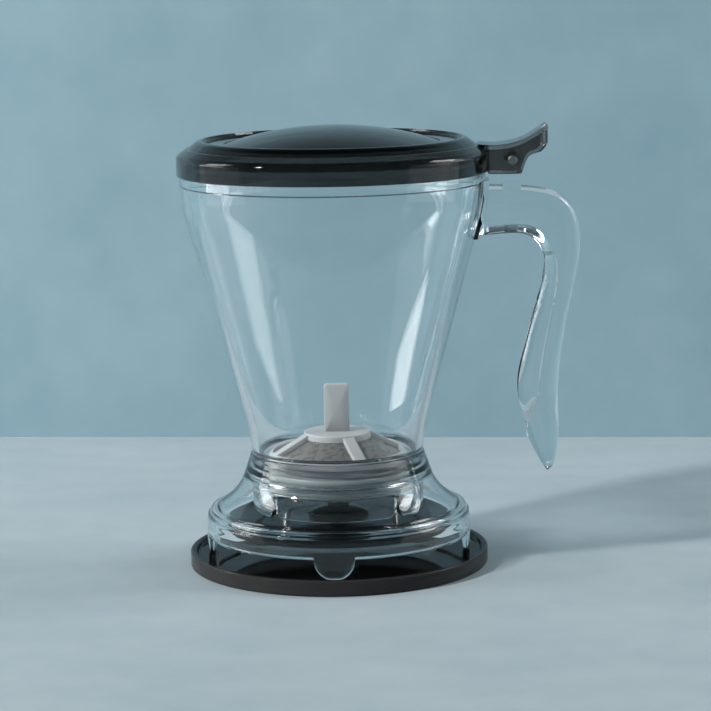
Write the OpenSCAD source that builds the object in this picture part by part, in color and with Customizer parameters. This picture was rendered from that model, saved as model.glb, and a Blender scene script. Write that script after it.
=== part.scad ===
// Bottom-emptying iced tea maker: a clear funnel-shaped jug with a hinged lid, standing on a drip
// coaster. Set on a cup, the plate under the jug is pushed up by the cup's rim and opens the valve.
// The origin is the middle of the coaster's underside, +Z is up and the handle points along +X.

/* [Coaster] */
// Overall height, from the table to the top of the lid's dome
total_h = 185; // [173:0.5:192]
// Outer diameter of the drip coaster
coaster_d = 126; // [122:1:134]
// Height of the coaster's rim above the table
coaster_h = 6.6; // [6.3:0.1:9]
// Height of the coaster's floor above the table
coaster_floor = 4.8; // [4:0.1:5.2]
// Thickness of the coaster's moulded wall
coaster_wall = 2; // [1.5:0.1:2.6]
// Width of the coaster's raised rim
coaster_rim_w = 3; // [2:0.1:4]

/* [Base skirt] */
// Outer diameter of the skirt's lower band
skirt_d = 111.4; // [108:0.2:114]
// Inner diameter of the socket that slips over a cup
socket_d = 105.2; // [103:0.2:106]
// Height of the four feet under the skirt's lower edge
foot_h = 8.1; // [6:0.1:10]
// Width of each foot
foot_w = 17; // [12:0.5:20]
// Height of the skirt's lower band
band_h = 11; // [10:0.1:12]
// Height of the flare between the lower band and the collar
flare_h = 14.8; // [14:0.1:17]
// Thickness of the flared wall
flare_wall = 2.4; // [1.8:0.1:2.6]
// Largest diameter of the collar round the neck
collar_d = 79.4; // [78:0.2:82]
// Height of the collar
collar_h = 9.6; // [9:0.1:12]
// Number of ribs round the collar
collar_ribs = 4; // [3:1:6]

/* [Jug] */
// Outer diameter of the neck
neck_d = 72.6; // [72:0.2:74]
// Height of the straight neck above the collar
neck_h = 6.8; // [5:0.1:9]
// Outer diameter of the jug just below its rim
mouth_d = 126.6; // [122:0.2:130]
// Height of the straight mouth up to the rim's top
mouth_h = 12.3; // [11:0.1:14]
// Thickness of the jug's wall
jug_wall = 2.9; // [2.4:0.1:3.1]
// How far the rim stands out from the mouth
rim_out = 0.3; // [0.2:0.1:0.8]
// Height of the rim
rim_h = 3.7; // [3:0.1:5]
// Height of the upstand inside the lid
upstand_h = 3; // [2:0.1:3.4]
// Width of the pad that carries the handle
pad_w = 19; // [17:0.5:22]

/* [Handle] */
// Width of the grip, front to back
grip_w = 16.4; // [14:0.2:18]
// Free space on either side of the hinge post
post_gap = 0.3; // [0.3:0.1:0.8]
// Depth of the arm where it meets the jug's pad
arm_h = 21.4; // [18:0.2:22]
// Radius of the hinge post's round top
knuckle_r = 3.5; // [3.2:0.1:3.7]
// Diameter of the hinge pin
pin_d = 4; // [3:0.1:4.4]

/* [Lid] */
// How far the lid's side stands out from the jug's rim
lid_out = 1.2; // [0.9:0.1:2.4]
// Thickness of the lid's wall
lid_wall = 2.2; // [1.6:0.1:2.3]
// Height of the lid's straight side
lid_side_h = 7.5; // [6.8:0.1:8]
// Height of the raised lip above the jug's rim
lid_lip_h = 14.4; // [13.6:0.1:15]
// Distance from the lid's side in to its raised lip
lid_lip_in = 10.4; // [9:0.2:12]
// Distance from the lid's side in to the dome's foot
dome_in = 20.4; // [18:0.2:24]
// Height of the dome above its foot
dome_h = 7; // [5:0.1:9]
// Width of the thumb lever
lever_w = 19; // [18:0.2:21]
// Thickness of the lever's top and ears
lever_wall = 2; // [1.6:0.1:2.1]

/* [Valve] */
// How far the valve lifts when the jug stands on a cup
valve_travel = 3.8; // [3:0.1:3.9]
// Diameter of the release plate
plate_d = 93; // [88:0.5:95]
// Thickness of the release plate's web
plate_t = 1.8; // [1.4:0.1:2]
// Height of the release plate's rim
plate_rim_h = 3.3; // [2.6:0.1:4]
// Diameter of the valve stem
stem_d = 3.8; // [3:0.1:4.2]
// Diameter of the outlet hole
outlet_d = 16; // [14:0.2:18]
// Diameter of the silicone stopper
stopper_d = 20.8; // [19.6:0.2:24]
// Thickness of the silicone stopper
stopper_t = 2.6; // [2:0.1:3.4]
// Outer diameter of the snap-in sleeve under the neck
sleeve_d = 72; // [71:0.2:72.6]
// Thickness of the sleeve's petals
sleeve_wall = 2.2; // [1.6:0.1:2.6]
// Width of the slots between the petals
slot_w = 2; // [1.4:0.1:3]
// Diameter of the spring's wire
wire_d = 0.6; // [0.4:0.05:0.7]
// Mean diameter of the spring
spring_d = 6; // [5.6:0.1:6.2]
// Number of curls in the spring
spring_turns = 4; // [3:1:5]

/* [Filter] */
// Outer diameter of the filter's band
filter_d = 57.8; // [56:0.2:58.2]
// Height of the filter's band
filter_band_h = 7.4; // [6:0.1:8]
// Height of the filter's cone
filter_cone_h = 8; // [6:0.1:10]
// Diameter of the filter's flat top
filter_top_d = 28.2; // [24:0.2:32]
// Width of the filter's four ribs
filter_rib_w = 5; // [3:0.1:7]
// Width of the filter's lifting tab
tab_w = 10.6; // [8:0.2:13]
// Height of the filter's lifting tab
tab_h = 21.1; // [14:0.1:26]

/* [Fits] */
// Clearance of a pin or a stem that turns or slides in its bore
run_gap = 0.06; // [0.03:0.01:0.09]
// Clearance between parts that are pushed together
slip_gap = 0.2; // [0.1:0.05:0.3]

/* [Hidden] */
$fn = 96;

// Small overlap that keeps cuts clean
eps = 0.01;
curve_steps = 8;

// Levels from the table up
skirt_z = coaster_floor + foot_h;
shoulder_z = skirt_z + band_h;
collar_z = shoulder_z + flare_h;
collar_top = collar_z + collar_h;
seal_t = 0.6;
neck_z = collar_top + seal_t;
cone_z = neck_z + neck_h;
dome_sink = 1.8;
dome_z = total_h - dome_h;
lip_z = dome_z + dome_sink;
rim_top = lip_z - lid_lip_h;
rim_z = rim_top - rim_h;
mouth_z = rim_top - mouth_h;
cone_h = mouth_z - cone_z;

// Radii of the jug
neck_r = neck_d / 2;
mouth_r = mouth_d / 2;
rim_r = mouth_r + rim_out;
spigot_step = 2.1;
spigot_wall = 2.8;
spigot_r = neck_r - spigot_step;
spigot_in_r = spigot_r - spigot_wall;
cone_slope = (mouth_r - neck_r) / cone_h;

// The outlet cup, its gasket and the ledge that carries them
ledge_t = 1.8;
ledge_z = collar_z - 2.6;
gasket_z = ledge_z + ledge_t;
gasket_t = 0.8;
cup_flange_z = gasket_z + gasket_t;
cup_flange_t = 1.6;
cup_top = cup_flange_z + cup_flange_t;
cup_r = spigot_in_r - 2.4;
cup_wall = 1.7;
cup_h = 9.8;
cup_z = cup_flange_z - cup_h;
cup_floor_t = 1.8;
cup_foot_r = 20;
ledge_r = cup_r + slip_gap;

// The valve, counted up from the skirt's lower edge
socket_wall_h = 3.6;
socket_h = socket_wall_h + 0.2;
plate_z = skirt_z + socket_h;
plate_top = plate_z + plate_t;
hub_floor_z = plate_z + 1.7;
hub_floor_t = 1.2;
hub_seat = hub_floor_z + hub_floor_t;
hub_h = 7.6;
hub_r = 4.6;
hub_plug_r = 9;
lens_r = 13;
lens_h = 4.1;
boss_r = 4.4;
boss_h = 1.6;
bush_r = 2.9;
seat_z = cup_z + cup_floor_t;
stopper_top = seat_z + stopper_t;
washer_t = 0.6;
washer_r = 5;
stem_r = stem_d / 2;
stem_head_h = 1.4;
stem_head_r = 3.4;
nut_t = 1.5;
sleeve_z = plate_top + valve_travel + 0.4;

// The filter stands on the outlet cup's flange
filter_z = cup_top;
filter_r = filter_d / 2;
filter_wall = 1.8;
filter_rib_t = 2;
filter_shoulder = filter_z + filter_band_h;
filter_top_z = filter_shoulder + filter_cone_h;
filter_top_r = filter_top_d / 2;
filter_turn = 22;

// The hinge
pin_r = pin_d / 2;
pin_x = rim_r + 11;
pin_z = rim_top + 4.7;
post_w = lever_w - 2 * lever_wall - 2 * post_gap;

// The handle's joint plane leans outwards from the bottom of the pad to its top
arm_top = rim_top - 5.9;
pad_foot = [rim_r - 1.8, arm_top - arm_h - 0.5];
pad_head = [rim_r + 1.4, rim_z];
pad_lean = (pad_head[0] - pad_foot[0]) / (pad_head[1] - pad_foot[1]);

function joint_x(z) = pad_foot[0] + (z - pad_foot[1]) * pad_lean;

// Curves: a bend between two straight runs, a smooth line through points, and unit vectors
function bend(a, b, c, n = curve_steps) =
    [for (k = [0:n]) let (t = k / n) (1 - t) * (1 - t) * a + 2 * t * (1 - t) * b + t * t * c];
function through(p, q, r, s, t) =
    (2 * q + (r - p) * t + (2 * p - 5 * q + 4 * r - s) * t * t + (3 * q - p - 3 * r + s) * t * t * t) / 2;
function smooth(pts, n) = let (last = len(pts) - 1) concat(
    [for (i = [0:last - 1], k = [0:n - 1])
        through(pts[max(i - 1, 0)], pts[i], pts[i + 1], pts[min(i + 2, last)], k / n)],
    [pts[last]]);
function unit(v) = v / norm(v);
function reversed(list) = [for (i = [len(list) - 1:-1:0]) list[i]];

// A tube or a bar from rings of points, closed at both ends
module skin(rings) {
    n = len(rings[0]);
    m = len(rings);
    sides = [for (i = [0:m - 2], k = [0:n - 1]) let (j = (k + 1) % n)
        each [[i * n + k, i * n + j, (i + 1) * n + j], [i * n + k, (i + 1) * n + j, (i + 1) * n + k]]];
    foot = [for (k = [1:n - 2]) [0, k + 1, k]];
    head = [for (k = [1:n - 2]) (m - 1) * n * [1, 1, 1] + [0, k, k + 1]];
    polyhedron(points = [for (r = rings) each r], faces = concat(sides, foot, head), convexity = 6);
}

module turned(profile) rotate_extrude($fn = 180) polygon(profile);

// A flat outline in X and Z, given its width along Y
module slab(outline, width) translate([0, width / 2, 0]) rotate([90, 0, 0])
    linear_extrude(width) polygon(outline);

// Drip coaster: a shallow dish with a hollow underside, standing on its rim
module coaster_tray() {
    r = coaster_d / 2;
    soft = 1.2;
    dish_r = r - coaster_rim_w;
    under = coaster_floor - coaster_wall;
    hollow_r = r - coaster_wall - soft;
    boss = 8;
    rib_w = 1.4;
    rib_lift = 0.4;
    color("#24282a") {
        turned(concat(
            [[0, 0], [boss, 0], [boss, under], [hollow_r, under], [hollow_r, 0]],
            bend([r - soft, 0], [r, 0.2], [r, 1.6], 4),
            bend([r, coaster_h - 1.6], [r, coaster_h], [r - 1.4, coaster_h], 4),
            [[dish_r + 0.4, coaster_h - 0.2], [dish_r, coaster_floor + 0.2], [dish_r - 0.4, coaster_floor],
             [0, coaster_floor]]));
        for (a = [0:60:300]) rotate([0, 0, a]) translate([boss - 1, -rib_w / 2, rib_lift])
            cube([hollow_r - boss + 2, rib_w, under - rib_lift + eps]);
    }
}

// Flare of the skirt, outside and inside
flare_out = bend([collar_d / 2, collar_z], [collar_d / 2 + 2.6, collar_z - flare_h * 0.56],
    [skirt_d / 2 - 2.9, shoulder_z + 1]);
flare_in = bend([collar_d / 2 - flare_wall, collar_z - 0.8],
    [collar_d / 2 + 2.6 - flare_wall, collar_z - flare_h * 0.66], [socket_d / 2 - 2, shoulder_z - 1.2]);
collar_step = (collar_d / 2 - neck_r - 0.4) / collar_ribs;
collar_rib_h = collar_h / collar_ribs;

// One foot: a tab with a round lower end and a small flat to stand on
module foot(angle) {
    toe = 0.3;
    reach = 8;
    rotate([0, 0, angle]) translate([(socket_d - reach) / 2, 0, coaster_floor])
        rotate([90, 0, 90]) linear_extrude(reach) intersection() {
            union() {
                translate([0, foot_w / 2 - toe]) circle(foot_w / 2, $fn = 64);
                translate([-foot_w / 2, foot_w / 2 - toe]) square([foot_w, foot_h]);
            }
            translate([-foot_w, 0]) square([2 * foot_w, foot_h + 2]);
        }
}

// Base skirt: ribbed collar, flare and band, with four feet cut from the band's own wall
module base_skirt() {
    r = skirt_d / 2;
    in_r = socket_d / 2;
    bore_r = spigot_r + slip_gap;
    foot_in_r = in_r + 0.6;
    foot_out_r = r - 0.5;
    ribs = [for (i = [collar_ribs - 1:-1:0])
        let (rr = collar_d / 2 - i * collar_step, z = collar_z + i * collar_rib_h)
        each [[rr - collar_step * 0.6, z + collar_rib_h - eps], [rr, z + collar_rib_h * 0.75],
              [rr, z + collar_rib_h * 0.2]]];
    color("#dfe9ec", 0.35) {
        turned(concat(
            [[bore_r, collar_top]], ribs, flare_out,
            [[r - 2, shoulder_z + 0.7], [r - 1, shoulder_z - 1.2], [r - 0.4, shoulder_z - 1.5]],
            bend([r - 0.4, shoulder_z - 1.5], [r, shoulder_z - 3.5], [r, shoulder_z - 6], 4),
            [[r, skirt_z + 3], [r - 0.3, skirt_z + 1], [r - 0.9, skirt_z], [in_r, skirt_z],
             [in_r, skirt_z + socket_wall_h], [in_r - 0.5, shoulder_z - 4]],
            reversed(flare_in),
            [[bore_r, collar_z - 0.8]]));
        intersection() {
            turned([[foot_in_r, coaster_floor], [foot_out_r, coaster_floor], [foot_out_r, skirt_z + 1],
                    [foot_in_r, skirt_z + 1]]);
            for (a = [0:90:270]) foot(a);
        }
    }
}

// Slot between two petals: narrow, round at the top, with the petals' corners rounded off below
module petal_slot(depth) {
    corner = 3.2;
    rotate([90, 0, 90]) linear_extrude(sleeve_wall * 3) {
        translate([-slot_w / 2, -1]) square([slot_w, depth + 1 - slot_w / 2]);
        translate([0, depth - slot_w / 2]) circle(slot_w / 2, $fn = 24);
        difference() {
            translate([-slot_w / 2 - corner, -1]) square([slot_w + 2 * corner, corner + 1]);
            for (s = [-1, 1]) translate([s * (slot_w / 2 + corner), corner]) circle(corner, $fn = 32);
            for (s = [-1, 1]) translate([s * (slot_w / 2 + corner * 1.5), corner / 2])
                square([corner, corner + 4], center = true);
        }
    }
}

// Drip sleeve: clamps the outlet cup from below and ends in four petals round the outlet
module drip_sleeve() {
    r = sleeve_d / 2;
    in_r = r - sleeve_wall;
    ring_t = 2.6;
    ring_z = ledge_z - ring_t;
    depth = ring_z - sleeve_z - 0.8;
    color("#dfe9ec", 0.35) difference() {
        turned([[ledge_r + 0.4, ring_z], [in_r, ring_z], [in_r, sleeve_z + 0.6], [in_r + 0.6, sleeve_z],
                [r - 0.6, sleeve_z], [r, sleeve_z + 0.6], [r, ledge_z + 1.5],
                [spigot_r + slip_gap, ledge_z + 1.5], [spigot_r + slip_gap, ledge_z], [ledge_r + 0.4, ledge_z]]);
        for (a = [45:90:315]) rotate([0, 0, a])
            translate([in_r - sleeve_wall, 0, sleeve_z]) petal_slot(depth);
    }
}

// Flat silicone ring between the skirt's collar and the jug's shoulder
module collar_seal() {
    color("#c9ced0", 0.6) turned([[spigot_r + slip_gap, collar_top], [neck_r - 0.1, collar_top],
        [neck_r - 0.1, neck_z], [spigot_r + slip_gap, neck_z]]);
}

// The jug's wall, inset by d from the outside: straight neck, cone, straight mouth
bend_low = 10;
bend_high = 9;
function jug_side(d) = concat(
    bend([neck_r - d, cone_z - bend_low * 0.6], [neck_r - d, cone_z],
        [neck_r - d + cone_slope * bend_low, cone_z + bend_low]),
    bend([mouth_r - d - cone_slope * bend_high, mouth_z - bend_high], [mouth_r - d, mouth_z],
        [mouth_r - d, mouth_z + bend_high * 0.8]));

// Jug: one moulding with the spigot that carries the base, the rim, the upstand and the handle's pad
module vessel() {
    up_in = mouth_r - jug_wall - 0.4;
    up_out = mouth_r - 1.9;
    wall_mid = jug_wall / 2;
    pad_side = [for (z = [pad_foot[1], (pad_foot[1] + pad_head[1]) / 2, pad_head[1]])
        [min(neck_r + (z - cone_z) * cone_slope, mouth_r) - wall_mid, z]];
    color("#dfe9ec", 0.3) {
        turned(concat(
            [[spigot_r, ledge_z], [spigot_r, neck_z], [neck_r - 0.4, neck_z], [neck_r, neck_z + 0.4]],
            jug_side(0),
            [[mouth_r, rim_z - 0.4], [rim_r, rim_z], [rim_r, rim_top - 0.4], [rim_r - 0.4, rim_top],
             [up_out, rim_top], [up_out, rim_top + upstand_h - 0.4], [up_out - 0.4, rim_top + upstand_h],
             [up_in, rim_top + upstand_h], [up_in, rim_top - 0.6]],
            reversed(jug_side(jug_wall)),
            [[neck_r - jug_wall, neck_z + 1.2], [spigot_in_r, neck_z - 0.6], [spigot_in_r, gasket_z],
             [ledge_r, gasket_z], [ledge_r, ledge_z]]));
        slab(concat(pad_side, [pad_head, pad_foot]), pad_w);
    }
}

// Handle outline, out from the joint plane and down to the tip. Each row holds the outer edge and the
// inner edge, as distances out from the rim and down from the arm's top, then the share of the width.
HANDLE = [
    [[19.4, 1], [12.4, 20.5], 1],
    [[31.6, 5], [18.9, 22.8], 1],
    [[38.1, 15.2], [22.6, 28.2], 1],
    [[38.2, 32.4], [23.3, 37.4], 0.96],
    [[32, 63.2], [16.2, 63], 0.92],
    [[29.5, 85.4], [11.5, 84.4], 0.96],
    [[29.7, 103.4], [15.2, 103.4], 0.9],
    [[28, 116.8], [21.3, 116.2], 0.62],
    [[25.4, 120.8], [24.6, 120.9], 0.2]
];
handle_rows = concat(
    [[[joint_x(arm_top) - rim_r, 0], [joint_x(arm_top - arm_h) - rim_r, arm_h], 1]], HANDLE);
handle_steps = 5;
handle_sides = 20;
squareness = 0.62;

function rounded(v) = sign(v) * pow(abs(v), squareness);
function handle_ring(outer, inner, width) = [for (k = [0:handle_sides - 1])
    let (a = 360 * k / handle_sides, u = rounded(cos(a)), mid = (outer + inner) / 2,
        half = (outer - inner) / 2)
    [rim_r + mid[0] + half[0] * u, width / 2 * rounded(sin(a)), arm_top - mid[1] - half[1] * u]];

// Handle: one solid clear bar with the hinge post standing on its arm
module handle() {
    outer = smooth([for (row = handle_rows) row[0]], handle_steps);
    inner = smooth([for (row = handle_rows) row[1]], handle_steps);
    width = smooth([for (row = handle_rows) row[2]], handle_steps);
    post_in = pin_x - 4.2;
    post_foot = arm_top - 7;
    post_fall = 1.6;
    color("#dfe9ec", 0.3) difference() {
        union() {
            skin([for (i = [0:len(outer) - 1]) handle_ring(outer[i], inner[i], width[i] * grip_w)]);
            slab([[post_in, post_foot], [pin_x + knuckle_r, post_foot], [pin_x + knuckle_r, pin_z],
                  [pin_x, pin_z], [post_in, pin_z - post_fall]], post_w);
            translate([pin_x, 0, pin_z]) rotate([90, 0, 0])
                cylinder(r = knuckle_r, h = post_w, center = true, $fn = 64);
        }
        translate([pin_x, 0, pin_z]) rotate([90, 0, 0])
            cylinder(r = pin_r + run_gap / 3, h = lever_w + 4, center = true, $fn = 64);
    }
}

// Hinge pin with rounded ends, held in the post
module hinge_pin() {
    half = lever_w / 2;
    crown = 0.3;
    crown_edge = 0.4;
    shoulder = 0.1;
    color("#b9bcbd") translate([pin_x, 0, pin_z]) rotate([90, 0, 0]) rotate_extrude($fn = 64)
        polygon([[0, -half - crown], [pin_r - crown_edge, -half - crown], [pin_r, shoulder - half],
                 [pin_r, half - shoulder], [pin_r - crown_edge, half + crown], [0, half + crown]]);
}

// Top and underside of the thumb lever, as distances out from the rim and up from the rim's top
LEVER_TOP = [[-7.6, 13.1], [-4.2, 11.7], [0, 11.2], [5, 11.1], [10.3, 11.8], [15.3, 13.4], [19.9, 15.8],
    [24.4, 19]];
EAR = [[13.6, -0.9], [15.2, 0.5], [16.1, 3.4], [17.8, 6.3], [20.3, 7.5], [23.2, 8.3], [25.3, 10.7],
    [25.9, 13.2], [25.9, 18.2]];
lever_curve = smooth([for (p = LEVER_TOP) [rim_r + p[0], rim_top + p[1]]], 3);
ear_edge = [for (p = EAR) [rim_r + p[0], rim_top + p[1]]];
lever_tip = rim_r + EAR[len(EAR) - 1][0];
tip_top = rim_top + LEVER_TOP[len(LEVER_TOP) - 1][1] - 0.4;

// Height of the lever's turned-down tip
tip_h = 7.9;

// The lever's outline seen from above, with rounded corners
module lever_plan() {
    corner = 6;
    from = rim_r - 8;
    translate([from, -lever_w / 2]) square([lever_tip - corner - from, lever_w]);
    translate([lever_tip - corner - eps, corner - lever_w / 2]) square([corner + eps, lever_w - 2 * corner]);
    for (s = [-1, 1]) translate([lever_tip - corner, s * (lever_w / 2 - corner)]) circle(corner, $fn = 48);
}

side_z = rim_top + lid_side_h;
lid_r = rim_r + lid_out;
lid_lip_r = lid_r - lid_lip_in;
dome_r = lid_r - dome_in;
function dome_arc(r, h, z) = [for (k = [0:12]) let (t = k / 12) [r * t, z + h * (1 - t * t)]];

// Lid: translucent shell with a straight side, sloping shoulder, raised lip, sunk ring and dome;
// the thumb lever and its two ears are part of the same moulding
module lid() {
    w = lid_wall;
    shell_out = concat(
        [[lid_r, rim_top], [lid_r, side_z - 0.6]],
        bend([lid_r, side_z - 0.6], [lid_r, side_z + 0.7], [lid_r - 1.7, side_z + 1.9], 4),
        [[lid_r - 4.5, side_z + 3.6], [lid_r - 5, side_z + 3.6]],
        bend([lid_lip_r + 2.4, lip_z - 0.9], [lid_lip_r + 0.6, lip_z + 0.2], [lid_lip_r - 0.6, lip_z - 0.1], 4),
        [[lid_lip_r - 1.2, lip_z - 1.3], [dome_r + 0.6, dome_z - 0.2]]);
    color("#2a3033", 0.82) difference() {
        union() {
            turned(concat(
                reversed(shell_out),
                [[lid_r - w, rim_top], [lid_r - w, side_z - 0.8], [lid_lip_r + 1.2, lip_z - w - 0.9],
                 [lid_lip_r - 1, dome_z - w + 0.1], [dome_r, dome_z - w]],
                reversed(dome_arc(dome_r - 1, dome_h, dome_z - w)),
                dome_arc(dome_r, dome_h, dome_z)));
            intersection() {
                union() {
                    slab(concat(lever_curve, [[lever_tip, tip_top]],
                        [[lever_tip, tip_top - tip_h], [lever_tip - lever_wall, tip_top - tip_h - 0.5]],
                        [for (p = reversed(lever_curve)) if (p[0] < lever_tip - lever_wall) p - [0, lever_wall]]),
                        lever_w);
                    for (s = [-1, 1]) translate([0, s * (lever_w - lever_wall) / 2, 0])
                        slab(concat([[lid_r - w + 0.2, side_z + 1], [lid_r - w + 0.2, rim_top],
                            [lid_r, rim_top], [lid_r + 0.3, rim_top - 0.9]], ear_edge,
                            reversed([for (p = lever_curve) if (p[0] > lid_r) p - [0, lever_wall / 2]])),
                            lever_wall);
                }
                translate([0, 0, rim_top - 2]) linear_extrude(lid_lip_h + dome_h) lever_plan();
            }
        }
        translate([pin_x, 0, pin_z]) rotate([90, 0, 0])
            cylinder(r = pin_r + run_gap, h = lever_w + 2, center = true, $fn = 64);
    }
}

// Outlet cup: a translucent bowl under the filter, with the outlet hole and a spider that guides the stem
module valve_cup() {
    in_r = cup_r - cup_wall;
    flange_r = spigot_in_r - slip_gap;
    color("#a9a5a3", 0.6) difference() {
        union() {
            turned(concat(
                [[outlet_d / 2, seat_z], [outlet_d / 2, cup_z]],
                bend([cup_foot_r - 3, cup_z], [cup_r - 0.4, cup_z + 0.4], [cup_r, cup_flange_z - 2]),
                [[cup_r, cup_flange_z], [flange_r, cup_flange_z], [flange_r, cup_top], [in_r, cup_top]],
                bend([in_r, cup_flange_z - 2], [in_r - 0.6, seat_z + 0.2], [cup_foot_r - 4.5, seat_z])));
            intersection() {
                translate([0, 0, cup_z]) cylinder(r = outlet_d / 2 + 0.5, h = boss_h - 0.2);
                for (a = [30:120:270]) rotate([0, 0, a]) translate([0, -0.9, cup_z])
                    cube([outlet_d, 1.8, boss_h]);
            }
            translate([0, 0, cup_z]) cylinder(r = boss_r, h = boss_h);
        }
        translate([0, 0, cup_z - 1]) cylinder(r = bush_r, h = boss_h + 2);
    }
}

// Silicone gasket between the cup's flange and the jug's ledge
module cup_gasket() {
    color("#d5d5d2") turned([[ledge_r, gasket_z], [spigot_in_r - slip_gap, gasket_z],
        [spigot_in_r - slip_gap, cup_flange_z], [ledge_r, cup_flange_z]]);
}

// Slippery bush pressed into the spider
module stem_bush() {
    color("#e8e6e0") turned([[stem_r + run_gap, cup_z], [bush_r, cup_z], [bush_r, cup_z + boss_h],
        [stem_r + run_gap, cup_z + boss_h]]);
}

// Spring centre line: a short straight foot, a bend into the curls, and the same again at the top
spring_len = cup_z - hub_seat;
curl_rings = 8;
foot_rise = 2 * wire_d;
spring_rise = (spring_len - 2 * foot_rise) / (spring_turns * 360);
function on_curl(a, z) = [spring_d / 2 * cos(a), spring_d / 2 * sin(a), hub_seat + z];
spring_line = concat(
    [on_curl(0, 0), on_curl(0, wire_d), on_curl(4, wire_d * 1.6)],
    [for (k = [1:spring_turns * curl_rings - 1]) let (a = 360 * k / curl_rings)
        on_curl(a, foot_rise + a * spring_rise)],
    [on_curl(-4, spring_len - wire_d * 1.6), on_curl(0, spring_len - wire_d), on_curl(0, spring_len)]);
spring_gap = min([for (i = [0:len(spring_line) - 1]) for (j = [i + 6:1:len(spring_line) - 1])
    norm(spring_line[i] - spring_line[j])]) - wire_d;

function wire_ring(i) = let (
    last = len(spring_line) - 1,
    p = spring_line[i],
    along = i == 0 || i == last ? [0, 0, 1] : unit(unit(spring_line[i + 1] - p) + unit(p - spring_line[i - 1])),
    out = unit([p[0], p[1], 0]),
    side = unit(out - (out * along) * along),
    up = cross(along, side))
    [for (k = [0:5]) p + wire_d / 2 * (cos(60 * k) * side + sin(60 * k) * up)];

// Return spring: pushes the plate down and the stopper onto its seat
module return_spring() {
    echo(spring_gap_to_itself_mm = spring_gap);
    color("#c8cacc") skin([for (i = [0:len(spring_line) - 1]) wire_ring(i)]);
}

// Silicone stopper with a soft lip that closes the outlet
module stopper() {
    r = stopper_d / 2;
    edge = 0.5;
    lip_in = 0.6;
    lip_t = 1.3;
    crown_w = 1.2;
    crown_drop = 0.3;
    color("#d8d8d4") turned([[stem_r, seat_z], [r - edge, seat_z], [r, seat_z + edge],
        [r - lip_in, seat_z + lip_t], [washer_r + crown_w, stopper_top - crown_drop],
        [washer_r + crown_w / 2, stopper_top], [stem_r, stopper_top]]);
}

// Stainless washer that spreads the stem head's load
module stopper_washer() {
    color("#b9bcbd") turned([[stem_r, stopper_top], [washer_r, stopper_top],
        [washer_r, stopper_top + washer_t], [stem_r, stopper_top + washer_t]]);
}

// Valve stem: a rod with a round head, down through the bush, the spring and the hub
module valve_stem() {
    head_z = stopper_top + washer_t;
    color("#b9bcbd") turned(concat(
        [[0, plate_z + 0.1], [stem_r - 0.3, plate_z + 0.1], [stem_r, plate_z + 0.4], [stem_r, head_z],
         [stem_head_r, head_z]],
        bend([stem_head_r, head_z + 0.3], [stem_head_r, head_z + stem_head_h], [0, head_z + stem_head_h], 4)));
}

// Release hub: a lens-shaped cap with the cup that holds the spring, plugged into the plate
module release_hub() {
    bore = spring_d / 2 + wire_d;
    color("#1b1e20") turned(concat(
        [[stem_r, hub_floor_z], [stem_head_r + 0.9, hub_floor_z], [stem_head_r + 0.9, plate_z],
         [hub_plug_r - 0.1, plate_z], [hub_plug_r - 0.1, plate_top], [lens_r, plate_top],
         [lens_r, plate_top + 1]],
        bend([lens_r, plate_top + 1.6], [lens_r - 5, plate_top + lens_h - 0.2], [hub_r, plate_top + lens_h], 5),
        [[hub_r, hub_seat + hub_h - 2.9], [bore, hub_seat + hub_h - 2.9], [bore, hub_seat],
         [stem_r, hub_seat]]));
}

// Release plate: a shallow dish that the cup's rim pushes up
module release_plate() {
    r = plate_d / 2;
    low_edge = 0.8;
    top_edge = 0.5;
    rim_w = 1.6;
    rim_foot_w = 2.6;
    rim_head = plate_z + plate_rim_h;
    rim_edge = 0.4;
    color("#1b1e20") turned([[hub_plug_r, plate_z], [r - low_edge, plate_z], [r, plate_z + low_edge],
        [r, rim_head - rim_edge], [r - top_edge, rim_head], [r - rim_w, rim_head],
        [r - rim_foot_w, plate_top],
        [hub_plug_r, plate_top]]);
}

// Nut that holds the stem under the hub's floor
module stem_nut() {
    color("#b9bcbd") translate([0, 0, hub_floor_z - nut_t]) difference() {
        cylinder(r = stem_head_r, h = nut_t, $fn = 6);
        translate([0, 0, -1]) cylinder(r = stem_r, h = nut_t + 2);
    }
}

cone_drop = filter_cone_h / (filter_r - filter_top_r);
function filter_cone(r) = filter_top_z - (r - filter_top_r) * cone_drop;

// The four directions of the filter's ribs
module rib_walls(width, height) for (k = [0:3]) rotate([0, 0, filter_turn + 90 * k])
    translate([0, -width / 2, filter_shoulder - 4]) cube([filter_r + 5, width, height]);

// Filter frame: band, four sloping ribs, flat top and lifting tab
module filter_frame() {
    in_r = filter_r - filter_wall;
    top_t = 0.9;
    tab_top = filter_top_z + tab_h;
    tab_t = 3.6;
    soft = 1.2;
    color("#a39c99") {
        turned([[in_r, filter_z], [filter_r - 0.3, filter_z], [filter_r, filter_z + 0.3],
            [filter_r, filter_shoulder - 0.3], [filter_r - 0.4, filter_cone(filter_r - 0.4)],
            [in_r, filter_cone(in_r)]]);
        intersection() {
            turned([[filter_top_r - 1, filter_cone(filter_top_r - 1)], [in_r + 0.5, filter_cone(in_r + 0.5)],
                [in_r + 0.5, filter_cone(in_r + 0.5) - filter_rib_t],
                [filter_top_r - 1, filter_cone(filter_top_r - 1) - filter_rib_t]]);
            rib_walls(filter_rib_w, filter_cone_h + 8);
        }
        turned([[0, filter_top_z - filter_rib_t], [filter_top_r, filter_top_z - filter_rib_t],
            [filter_top_r, filter_top_z], [filter_top_r - 0.5, filter_top_z + top_t],
            [0, filter_top_z + top_t]]);
        slab(concat([[tab_w / 2, filter_top_z]],
            bend([tab_w / 2, tab_top - soft], [tab_w / 2, tab_top], [tab_w / 2 - soft, tab_top], 3),
            bend([soft - tab_w / 2, tab_top], [-tab_w / 2, tab_top], [-tab_w / 2, tab_top - soft], 3),
            [[-tab_w / 2, filter_top_z]]), tab_t);
    }
}

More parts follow.
